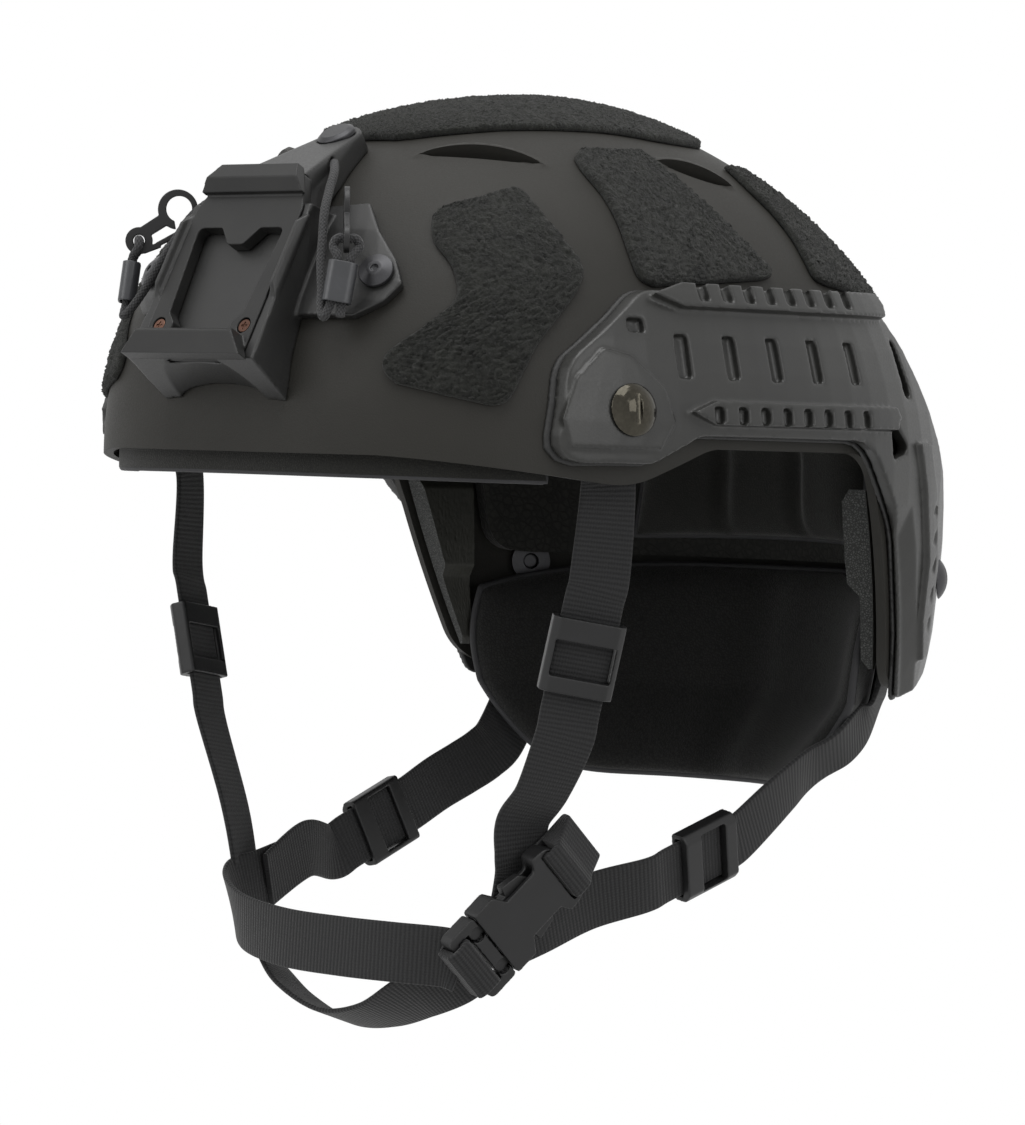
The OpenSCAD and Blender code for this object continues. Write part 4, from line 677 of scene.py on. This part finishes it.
# Liner and pads: FLATS is the room that the solids leave for their flat facets
FLATS = 0.45
FOAM_T, PAD_T, BROW_T, NAPE_T = 9, 12, 14, 12
FOAM_BACK = WALL + SEAT + 3.5 * FLATS
LINER_BACK = FOAM_BACK + FOAM_T + SEAT + 1.5 * FLATS
FOAM_REAR_Y = TIP_Y + 8
EASE, SEAM_DEPTH = 0.8, 0.3


def make_liner():
    corners = [[-FORE_Y, 29, 0], [-TEMPLE_Y, 25, 20], [FOAM_REAR_Y - 9, 25, 16], [FOAM_REAR_Y, -32, 10],
               [FOAM_REAR_Y + 14, -33, 0]]
    front_b = np.linspace(-90, float(bearing_at(-FORE_Y)), 30)[:-1]
    ear, _ = even(rounded(corners, 10), 3)
    back_b = np.linspace(float(bearing_at(FOAM_REAR_Y + 14)), 90, 24)[1:]
    half = np.concatenate([np.stack([front_b, np.full_like(front_b, 29)], -1),
                           np.stack([bearing_at(ear[:, 0], ear[:, 1]), ear[:, 1]], -1),
                           np.stack([back_b, np.full_like(back_b, -33)], -1)])
    rows = 70
    b, z, t = dome_rows(whole_loop(half), rows)
    # the foam's rim is eased by a fraction of a millimetre
    ease = EASE * (1 - np.clip(t * rows / 2, 0, 1))
    points, faces = dome_between(lay(b, z, -FOAM_BACK - ease), lay(b, z, -FOAM_BACK - FOAM_T + ease))
    piece = build("liner_foam", points, faces, beaded_foam, angle=50)
    open_vents(piece, 24)
    stands_for(piece, "foam", "foam_liner")


make_liner()


def fullness(u, v, channels):
    """Share of a cushion's thickness over its face: crowned, round at its edges, drawn in at its seams."""
    crown = (1 - np.abs(2 * u - 1) ** 7) * (1 - np.abs(2 * v - 1) ** 6)
    seam = 1.0
    if channels:
        off_seam = (u * channels - np.round(u * channels)) * 9
        inner = (u > 0.5 / channels) & (u < 1 - 0.5 / channels)
        seam = 1 - np.where(inner, SEAM_DEPTH * np.exp(-off_seam ** 2), 0)
    return 0.14 + 0.86 * np.clip(crown, 0, 1) ** 0.55 * seam


def spread_out(n):
    """Places from 0 to 1, closer together near both ends."""
    t = np.linspace(0, 1, n)
    return 0.55 * t + 0.45 * (0.5 - 0.5 * np.cos(np.pi * t))


def cushion(name, lay_at, back, thick, cols, rows, channels, finish, slot, node, tape=1.2, mirror=False):
    """Padded piece inside the shell, with a bound edge. lay_at gives a point from u, v and depth."""
    v, u = np.meshgrid(spread_out(rows), spread_out(cols), indexing="ij")
    outer = lay_at(u, v, np.full_like(u, back))
    points, faces = slab(outer, lay_at(u, v, back + thick * fullness(u, v, channels)))
    at = tuple(np.array(rim_of(rows, cols)).T)
    tube, tube_faces = closed_tube(lay_at(u[at], v[at], np.full(len(at[0]), back + 0.1 + tape)), tape)
    faces += [tuple(k + len(points) for k in face) for face in tube_faces]
    points = np.concatenate([points, tube])
    if mirror:
        points, faces = mirrored(points, faces)
    piece = build(name, points, faces, finish, angle=75)
    piece.data.materials.append(edge_tape)
    count = len(piece.data.polygons)
    taped = np.zeros(count, np.int32)
    taped[count - len(tube_faces):] = 1
    piece.data.polygons.foreach_set("material_index", taped)
    stands_for(piece, slot, node)
    return piece


def closed_tube(path, r, sides=8):
    """Points and faces of round piping along a closed path."""
    d = unit(np.roll(path, -1, 0) - np.roll(path, 1, 0))
    x = unit(np.cross(d, unit(path - path.mean(0))))
    y = np.cross(d, x)
    turn = (np.arange(sides) * 2 * np.pi / sides)[None, :, None]
    points = path[:, None] + r * (np.cos(turn) * x[:, None] + np.sin(turn) * y[:, None])
    n = len(path)
    faces = [(i * sides + k, i * sides + (k + 1) % sides, (i + 1) % n * sides + (k + 1) % sides,
              (i + 1) % n * sides + k) for i in range(n) for k in range(sides)]
    return points.reshape(-1, 3), faces


def shell_cushion(name, b0, b1, z0, z1, thick, channels, back, node, pinch=1.5, mirror=False,
                  cols=90, rows=50):
    """Cushion between two bearings and two heights, its sides drawn in by pinch."""
    def lay_at(u, v, depth):
        b = b0 + (b1 - b0) * u + pinch * (1 - 2 * u) * np.sin(np.pi * v)
        z = z0 + (z1 - z0) * v + pinch * 0.8 * (1 - 2 * v) * np.sin(np.pi * u)
        return lay(b, z, -depth)

    cushion(name, lay_at, back, thick, cols, rows, channels, knit_cover, "pad", node, mirror=mirror)


shell_cushion("brow_cushion", -142, -38, -6.5, 24, BROW_T, 5, FOAM_BACK, "brow_pad",
              pinch=0.8, cols=180, rows=30)
shell_cushion("side_cushion_left", -19, 17, 28, 72, PAD_T, 2, LINER_BACK, "side_pad_left")
shell_cushion("side_cushion_right", -19, 17, 28, 72, PAD_T, 2, LINER_BACK, "side_pad_right", mirror=True)
shell_cushion("rear_cushion", 58, 122, -26, 44, PAD_T, 3, LINER_BACK, "rear_pad")


def crown_at(u, v, depth):
    """Place on the crown pad, 92 mm long and 80 mm wide in plan, a little narrower in its middle."""
    half = 40 - 3 * np.sin(np.pi * v)
    return crown_lay((2 * u - 1) * half, -46 + 92 * v, -depth)


cushion("crown_cushion", crown_at, LINER_BACK, PAD_T, 60, 60, 2, knit_cover, "pad", "crown_pad")

# Foam behind the ears as [height, thickness], sawn flat at its front edge, where its beads show
DROP_ROWS = np.array([[-66, 1.5], [-63, 4.2], [-54, 4.5], [-45, 4.5], [-42, 4.8], [-38, 9], [-30, 9.5],
                      [-20, 9.5], [-11, 9], [-7, 6]])
FOAM_LEAN = 21 / 0.78


def make_drop_foam(side, name):
    z = np.linspace(DROP_ROWS[0, 0], DROP_ROWS[-1, 0], 90)[:, None]
    thick = np.interp(z, DROP_ROWS[:, 0], DROP_ROWS[:, 1])
    near = TIP_Y + 2 - FOAM_LEAN * (z + DROP) / DROP
    y = near + (FOAM_REAR_Y - 8 - near) * np.linspace(0, 1, 40)
    b = bearing_at(y, np.broadcast_to(z, y.shape))
    rough = dice.normal(0, 0.05, y.shape)
    points, faces = slab(lay(b, z, -FOAM_BACK), lay(b, z, -FOAM_BACK - thick + rough))
    if side < 0:
        points, faces = mirrored(points, faces)
    piece = build("drop_foam_" + name, points, faces, cut_foam, angle=50)
    # its two broad faces keep the moulded skin
    piece.data.materials.append(foam_skin)
    skinned = np.zeros(len(piece.data.polygons), np.int32)
    skinned[:2 * (y.shape[0] - 1) * (y.shape[1] - 1)] = 1
    piece.data.polygons.foreach_set("material_index", skinned)
    stands_for(piece, "foam", "drop_pad_" + name)


make_drop_foam(1, "left")
make_drop_foam(-1, "right")

# Nape pad on its yoke, with the guide posts and the room in which they run
NAPE_LOW, YOKE_BACK, YOKE_T, NAPE_B0 = 108, WALL + 1.6 + 2.6, 2.4, 30.6
PAD_BACK = YOKE_BACK + YOKE_T + SEAT + 0.2
POST_B, POST_Z, POST_D, POST_L = 68, -50, 4.4, 14
RUN = 0.35


def flare(z):
    """How far the nape pad and what lies behind it lean in below the shell."""
    return 18 * (np.clip(-z - 78, 0, None) / 30) ** 1.2


def nape_at(u, v, depth):
    low = -NAPE_LOW + 30 * np.abs(2 * u - 1) ** 9
    high = -36 - 10 * np.abs(2 * u - 1) ** 4
    b = NAPE_B0 + (180 - 2 * NAPE_B0) * u - 1.3 * (1 - 2 * u) * np.sin(np.pi * v)
    z = low + (high - low) * v
    return lay(b, z, -depth - flare(z))


def make_nape_cushion():
    """The pad with its two holes for the guide posts."""
    piece = cushion("nape_cushion", nape_at, PAD_BACK, NAPE_T, 150, 60, 2, spacer_mesh, "spacer_mesh",
                    "nape_pad", tape=1.35)
    foot = lay(POST_B, POST_Z, -WALL) - [0, SEAT + 1.7, 0]
    for side in (1, -1):
        start = foot * [side, 1, 1]
        cut(piece, *round_bar(start, start - [0, POST_L + 1, 0], POST_D / 2 + 2 * RUN, 24))


make_nape_cushion()

# Webbing
WEB_W, WEB_T, LOCK_RUN = 19, 1.6, 27


def make_band(name, rows, node):
    """Flat band along rows of [x, y, z, outward x, y, z], with rolled edges."""
    path, at = even(spline(rows, 16), 1.0)
    d = unit(np.gradient(path[:, :3], axis=0))
    f = path[:, 3:]
    n = unit(f - d * np.sum(f * d, -1, keepdims=True))
    a = np.cross(d, n)
    across = np.concatenate([[-1, -0.985, -0.955], np.linspace(-0.9, 0.9, 13), [0.955, 0.985, 1]])
    lift = np.concatenate([[0.25, 0.72, 0.94], np.ones(13), [0.94, 0.72, 0.25]])
    rim = np.concatenate([np.stack([across, lift], -1), np.stack([across, -lift], -1)[::-1]])
    ring_points = path[:, None, :3] + (rim[None, :, :1] * WEB_W / 2) * a[:, None]
    ring_points += (rim[None, :, 1:] * WEB_T / 2) * n[:, None]
    grid = ring_points.shape[:2]
    uv = np.stack([np.broadcast_to(at[:, None], grid),
                   np.broadcast_to(rim[None, :, 0] * WEB_W / 2, grid)], -1)
    stands_for(build(name, ring_points, capped(*grid), nylon_webbing, uv=uv, angle=60), "webbing", node)


def place_runs(c, d, f, fore=LOCK_RUN):
    """Rows of the straight run through a lock at c, along d, from LOCK_RUN before it to fore past it."""
    c, d = np.array(c, float), unit(np.array(d, float))
    return [[*(c + d * k), *f] for k in (-LOCK_RUN, -LOCK_RUN * 0.66, 0, fore * 0.66, fore)]


front_lock_left, front_lock_right = [86.4, -70, -61.2], [-85.6, -70, -63.6]
rear_lock_left, rear_lock_right = [73, 6.8, -127], [-73, 6.8, -125.4]
front_run_left, front_run_right = [-0.22, -0.03, -0.97], [0.28, -0.03, -0.96]
rear_run_left, rear_run_right = [0.06, 0.94, 0.32], [-0.05, 0.93, 0.36]
front_anchor = lay(-29.4, 8, -WALL - 4.6 - WEB_T / 2)
DEEP = YOKE_BACK - SEAT - WEB_T / 2
SHALLOW = WALL + SEAT + 4 * FLATS + WEB_T / 2


def behind(s, b, z):
    """Row of a strap that lies between the shell and the nape pad's yoke, on side s."""
    depth = DEEP + (SHALLOW - DEEP) * min(1, max(0, (z + 84) / 30))
    p = lay(b, z, -depth - flare(z))
    n = skin_normal(b, 0)
    return [s * p[0], p[1], z, s * n[0], n[1], 0]


def up_the_back(s):
    return [behind(s, b, z) for b, z in ((37.8, -84), (38.6, -75), (38.6, -65), (38.6, -54), (39, -44))]


make_band("front_strap_left",
          [[*front_anchor, 0.93, -0.36, 0], [94, -68.5, -8, 0.93, -0.36, 0]]
          + place_runs(front_lock_left, front_run_left, [0.78, -0.62, -0.2])
          + [[71.5, -70, -104, 0.9, -0.36, -0.26], [62.5, -69, -114, 0.9, -0.34, -0.26],
             [60.4, -67.4, -124, 0.95, -0.26, -0.16], [59.4, -66, -131, 0.95, -0.26, -0.16],
             [57.6, -66.6, -144, 0.95, -0.26, -0.16]],
          "strap_front_left")
make_band("front_strap_right",
          [[*(front_anchor * [-1, 1, 1]), -0.93, -0.36, 0], [-94, -68.5, -8, -0.93, -0.36, 0]]
          + place_runs(front_lock_right, front_run_right, [-0.94, -0.3, -0.2])
          + [[-66.6, -70.6, -116, -0.93, -0.34, -0.14], [-62.4, -69.4, -134, -0.92, -0.38, 0],
             [-62, -68, -146, -0.92, -0.38, 0]],
          "strap_front_right")
make_band("rear_strap_left",
          [[58, -71, -152.6, 0.95, -0.25, -0.16], [61.6, -58, -147.6, 0.95, -0.25, -0.16],
           [64.2, -38, -140.6, 0.96, -0.2, -0.16]]
          + place_runs(rear_lock_left, rear_run_left, [0.97, -0.02, -0.2], 17)
          + [[75, 36, -112.5, 0.97, 0.02, -0.25], [75, 48, -105, 0.95, 0.12, -0.3],
             [75, 58.5, -99, 0.9, 0.26, -0.34], [79.2, 68.6, -92.6, 0.9, 0.38, -0.2]] + up_the_back(1),
          "strap_rear_left")
make_band("rear_strap_right",
          [[-58, -62, -142, -0.92, -0.36, 0], [-64.4, -38, -133, -0.96, -0.2, -0.1]]
          + place_runs(rear_lock_right, rear_run_right, [-0.97, -0.02, -0.2], 17)
          + [[-75, 36, -113.5, -0.97, 0.02, -0.25], [-74.4, 48, -108.4, -0.95, 0.12, -0.3],
             [-74, 58.5, -103.6, -0.9, 0.26, -0.34], [-75.4, 68, -98, -0.86, 0.42, -0.3]] + up_the_back(-1),
          "strap_rear_right")
make_band("upper_chin_strap",
          [[-62.2, -53, -139.2, -0.95, -0.28, -0.05], [-60, -65, -141.6, -0.93, -0.35, -0.1],
           [-57.6, -76.6, -143.6, -0.86, -0.47, -0.28], [-51.4, -84.8, -148, -0.68, -0.7, -0.26],
           [-37, -93, -153, -0.38, -0.92, -0.12], [-13, -98.4, -155.6, -0.12, -0.99, 0],
           [13, -99.6, -156.2, 0.08, -0.99, 0.05], [34, -97.6, -156.4, 0.34, -0.94, 0.02],
           [50.4, -91.2, -157, 0.64, -0.76, -0.02],
           [56.4, -88.4, -158.6, 0.84, -0.52, -0.08]], "chin_band_upper")
make_band("lower_chin_strap",
          [[-47.6, -79.4, -156.4, -0.72, -0.64, -0.26], [-37.4, -80, -165.6, -0.6, -0.42, -0.68],
           [-23.4, -82.6, -174.4, -0.36, -0.3, -0.88], [-2, -84.6, -180.8, -0.04, -0.3, -0.95],
           [18, -85.6, -178.4, 0.3, -0.4, -0.86], [35, -87, -171.2, 0.46, -0.66, -0.6],
           [49, -86, -164.6, 0.62, -0.74, -0.3],
           [55.4, -85.6, -161, 0.82, -0.52, -0.22]], "chin_band_lower")

# Folded and sewn ends at the buckle: X along it, Y across it, Z outwards
BUCKLE_T = 7.4
FOLD = BUCKLE_T / 2 + SEAT + WEB_T
SOCKET_L = 25


def buckle_axes():
    """Middle of the buckle, and axes along it, across it and outwards."""
    d, f = unit(np.array([0.272, 0.649, 0.709])), unit(np.array([0.96, -0.25, -0.14]))
    n = unit(f - d * (f @ d))
    return np.array([63.7, -74.3, -145]), d, np.cross(n, d), n


def make_fold(name, outline, bar, node):
    """Webbing folded round a buckle's end bar: a rounded wedge with the bar's place left open."""
    origin, x, y, n = buckle_axes()
    loop, at = even(np.concatenate([outline, outline[:1]]), 0.8)
    loop, at = loop[:-1], at[:-1]
    across = np.concatenate([[-1, -0.97], np.linspace(-0.93, 0.93, 15), [0.97, 1]])
    squeeze = np.concatenate([[0.5, 0.12], np.zeros(15), [0.12, 0.5]])
    middle = loop.mean(0)
    grid = []
    for a, q in zip(across, squeeze):
        pulled = loop + (middle - loop) / np.linalg.norm(middle - loop, axis=1, keepdims=True) * q
        grid.append(origin + pulled[:, :1] * x + (a * WEB_W / 2) * y + pulled[:, 1:] * n)
    points = np.array(grid)
    rows, cols = points.shape[:2]
    faces = capped(rows, cols)
    uv = np.stack([np.broadcast_to(at, (rows, cols)),
                   np.broadcast_to(across[:, None] * WEB_W / 2, (rows, cols))], -1)
    flat = points.reshape(-1, 3)
    if sum(np.dot(flat[f[0]], np.cross(flat[f[1]], flat[f[2]])) for f in faces) < 0:
        faces = [face[::-1] for face in faces]
    piece = build(name, points, faces, nylon_webbing, uv=uv, angle=50)
    x0, wide, deep = bar
    corners = [[a, b, c] for a in (x0, x0 + wide) for b in (-20, 20) for c in (-deep, deep)]
    box = np.array([origin + a * x + b * y + c * n for a, b, c in corners])
    cut(piece, box, [(0, 1, 3, 2), (4, 6, 7, 5), (0, 4, 5, 1), (2, 3, 7, 6), (0, 2, 6, 4), (1, 5, 7, 3)])
    stands_for(piece, "webbing", node)


make_fold("sewn_tab",
          rounded([[SOCKET_L - 5, -FOLD, 1.2], [SOCKET_L + 12, -FOLD, 0.8], [SOCKET_L + 12, -FOLD + 3.4, 0.8],
                   [SOCKET_L + 4, FOLD - 3, 3], [SOCKET_L + 1, FOLD, 1.6], [SOCKET_L - 5, FOLD, 1.4]], 6),
          (SOCKET_L - 2.6 - SEAT, 2.6 + 2 * SEAT, BUCKLE_T / 2 + SEAT), "strap_tab")
make_fold("chin_fold_sewn",
          rounded([[-25, -FOLD + 2, 1.4], [-22, -FOLD + 0.6, 1.4], [-16, -FOLD + 0.6, 1.2],
                   [-16, FOLD - 0.6, 1.2], [-22, FOLD - 0.6, 1.4], [-25, FOLD - 2, 1.4]], 6),
          (-22 - SEAT, 2.6 + 2 * SEAT, BUCKLE_T / 2 - 0.6 + SEAT), "chin_fold")

# Bungees: each runs from the mount down to its sleeve, round the hook's eye and back
CORD_D = 3
HOOK_EYE = np.array([46.5, -139, 66.2])
HOOK_NORMAL = np.array([float(cosd(-134)), float(sind(-134)), 0])
SLEEVE_LOW, SLEEVE_TOP = np.array([46.9, -143.3, 46.4]), np.array([47.4, -140.7, 60.4])
STRAND = CORD_D / 2 + 0.15
sleeve_mid = (SLEEVE_LOW + SLEEVE_TOP) / 2
bungee_rows = np.array([
    [13, -111.5, 91.6], [18.9, -117.5, 87.9], [23.5, -124, 82.4], [29.2, -131.6, 75], [33, -136, 66.5],
    [36.2, -139.6, 58.4], [39.6, -142.4, 50.6], [42.2, -145, 45], [44.8, -146.4, 42],
    SLEEVE_LOW + HOOK_NORMAL * STRAND, sleeve_mid + HOOK_NORMAL * STRAND,
    SLEEVE_TOP + HOOK_NORMAL * (STRAND + 0.5), HOOK_EYE + [0, 0, -2.4] + HOOK_NORMAL * 4,
    HOOK_EYE + [0, 0, 0.1] + HOOK_NORMAL * 2.7, HOOK_EYE - [0, 0, 0.1],
    HOOK_EYE + [0, 0, 0.1] - HOOK_NORMAL * 2.7, HOOK_EYE + [0, 0, -2.4] - HOOK_NORMAL * 4,
    SLEEVE_TOP - HOOK_NORMAL * (STRAND + 0.5), sleeve_mid - HOOK_NORMAL * STRAND,
    SLEEVE_LOW - HOOK_NORMAL * STRAND, [48.6, -143, 42.2]])


def make_bungee(side, name):
    """Braided cord: two sets of strands wind round it and cross."""
    path, at = even(spline(bungee_rows, 24), 0.3)
    d = unit(np.gradient(path, axis=0))
    sides = 20
    turn = -np.arange(sides) * 2 * np.pi / sides
    normal = np.array([1.0, 0, 0])
    rings = []
    for p, t, s in zip(path, d, at):
        normal = unit(normal - t * (normal @ t))
        across = np.cross(t, normal)
        weave = 0.5 + 0.5 * np.cos(4 * turn + s * 1.9) * np.cos(4 * turn - s * 1.9)
        r = CORD_D / 2 - 0.16 + 0.16 * weave
        rings.append(p + (r * np.cos(turn))[:, None] * normal + (r * np.sin(turn))[:, None] * across)
    points = np.array(rings)
    rows = len(points)
    faces = [face[::-1] for face in capped(rows, sides)]
    uv = np.stack([np.broadcast_to(at[:, None], (rows, sides)),
                   np.broadcast_to(-turn * CORD_D / 2, (rows, sides))], -1)
    if side < 0:
        points, faces = mirrored(points, faces)
    piece = build("braided_bungee_" + name, points, faces, cord_braid, uv=uv, angle=80)
    stands_for(piece, "cord", "bungee_" + name)


make_bungee(1, "left")
make_bungee(-1, "right")

# Moulded and metal parts: finish, slot, voxel in mm and smoothing passes
for finish, slot, voxel, passes, nodes in (
        (rail_nylon, "rail", 0.62, 5, "rail_left rail_right"),
        # the black gaskets also stand in as painted shade for the gap under the rails' edges
        (gasket_rubber_and_gap_shade, "gasket", 0.5, 3, "gasket_left gasket_right"),
        (bolt_nickel, "rail_bolt", 0.25, 3, "rail_front_bolts"),
        (black_steel, "rail_bolt", 0.3, 3, "rail_rear_bolts"),
        (mount_nylon, "mount", 0.45, 5, "shroud_frame"),
        (insert_coat, "mount", 0.3, 3, "shroud_insert"),
        (copper_plate, "copper_screw", 0.1, 2, "insert_screws"),
        (black_steel, "black_steel", 0.2, 3, "shroud_top_bolt shroud_ear_bolts"),
        (shrink_sleeve, "sleeve", 0.2, 5, "sleeve_left sleeve_right"),
        (acetal, "hook", 0.2, 3, "hook_left hook_right"),
        (acetal, "buckle", 0.32, 4, "lock_front_left lock_front_right lock_rear_left lock_rear_right"),
        (acetal, "buckle", 0.3, 4, "buckle_socket buckle_plug"),
        (acetal, "buckle", 0.2, 3, "prong_upper prong_lower"),
        (knob_nylon, "knob", 0.4, 4, "dial_housing"),
        (knob_nylon, "knob", 0.35, 4, "dial_knob"),
        (knob_nylon, "knob", 0.6, 4, "nape_yoke")):
    for node in nodes.split():
        moulded_copy(node, finish, slot, voxel, passes)

for node in ("shell_nuts", "guide_posts"):
    for held in frame["nodes"][node].material_slots:
        held.material = black_steel

# Camera, floor and light
AZ, EL, ROLL = (math.radians(a) for a in (42.77, 1.18, 1.60))
PX_PER_MM, DISTANCE, CENTRE_PX, PHOTO_PX, SENSOR = 3.008, 1772, (535.2, 459.2), (1025, 1125), 36
back_way = np.array([math.sin(AZ) * math.cos(EL), -math.cos(AZ) * math.cos(EL), math.sin(EL)])
level = np.array([math.cos(AZ), math.sin(AZ), 0])
above = np.cross(back_way, level)
right = level * math.cos(ROLL) + above * math.sin(ROLL)
upright = above * math.cos(ROLL) - level * math.sin(ROLL)
off_x, off_y = ((c - size / 2) / PX_PER_MM for c, size in zip(CENTRE_PX, PHOTO_PX))
eye = DISTANCE * back_way - off_x * right + off_y * upright

lens = bpy.data.cameras.new("camera")
lens.sensor_width = SENSOR
lens.lens = PX_PER_MM * DISTANCE * SENSOR / PHOTO_PX[1]
lens.clip_start, lens.clip_end = 0.1, 60
camera = bpy.data.objects.new("camera", lens)
bpy.context.scene.collection.objects.link(camera)
axes = [[right[k], upright[k], back_way[k], eye[k] * MM] for k in range(3)]
camera.matrix_world = Matrix(axes + [[0, 0, 0, 1]])
bpy.context.scene.camera = camera
bpy.context.scene.view_settings.view_transform = "Standard"


def white_to_the_eye(tree, shaded, output):
    """White where the camera, gloss or glass looks, and the given shader for all other light."""
    path = add(tree, "LightPath").outputs
    direct = add(tree, "Math", {"operation": "MAXIMUM"},
                 {0: path["Is Camera Ray"], 1: path["Is Transmission Ray"]})
    seen = add(tree, "Math", {"operation": "MAXIMUM"}, {0: direct.outputs[0], 1: path["Is Glossy Ray"]})
    kind = "Background" if output.bl_idname.endswith("World") else "Emission"
    white = add(tree, kind, {"Color": (1, 1, 1, 1), "Strength": 1.0})
    mix = add(tree, "MixShader", None, {0: seen.outputs[0], 1: shaded.outputs[0], 2: white.outputs[0]})
    tree.links.new(mix.outputs[0], output.inputs["Surface"])


def make_floor():
    size, height = 14000, -420
    points = [[-size, -size, height], [size, -size, height], [size, size, height], [-size, size, height]]
    finish, tree, shader = blank("pale_floor")
    shader.inputs["Base Color"].default_value = linear("#e6e6e4")
    shader.inputs["Roughness"].default_value = 0.9
    white_to_the_eye(tree, shader, tree.nodes["Material Output"])
    build("floor", points, [(0, 1, 2, 3)], finish)


make_floor()

world = bpy.data.worlds.new("studio")
world.use_nodes = True
bpy.context.scene.world = world
sky = world.node_tree.nodes["Background"]
sky.inputs["Color"].default_value = (1, 1, 1, 1)
sky.inputs["Strength"].default_value = 0.38
white_to_the_eye(world.node_tree, sky, world.node_tree.nodes["World Output"])


def lamp(name, place, size, power, aim=(0, 0, 0)):
    """Soft square light at a place in metres, turned to the helmet."""
    light = bpy.data.lights.new(name, "AREA")
    light.shape, light.size, light.energy = "SQUARE", size, power
    holder = bpy.data.objects.new(name, light)
    bpy.context.scene.collection.objects.link(holder)
    holder.location = place
    holder.rotation_mode = "QUATERNION"
    holder.rotation_quaternion = (Vector(aim) - Vector(place)).to_track_quat("-Z", "Y")


lamp("top_light", (0.2, -0.4, 1.6), 1.3, 20)
lamp("left_light", (-0.6, -1.8, 0.9), 1.1, 11)
lamp("right_light", (1.9, -0.1, 0.7), 1.1, 9)
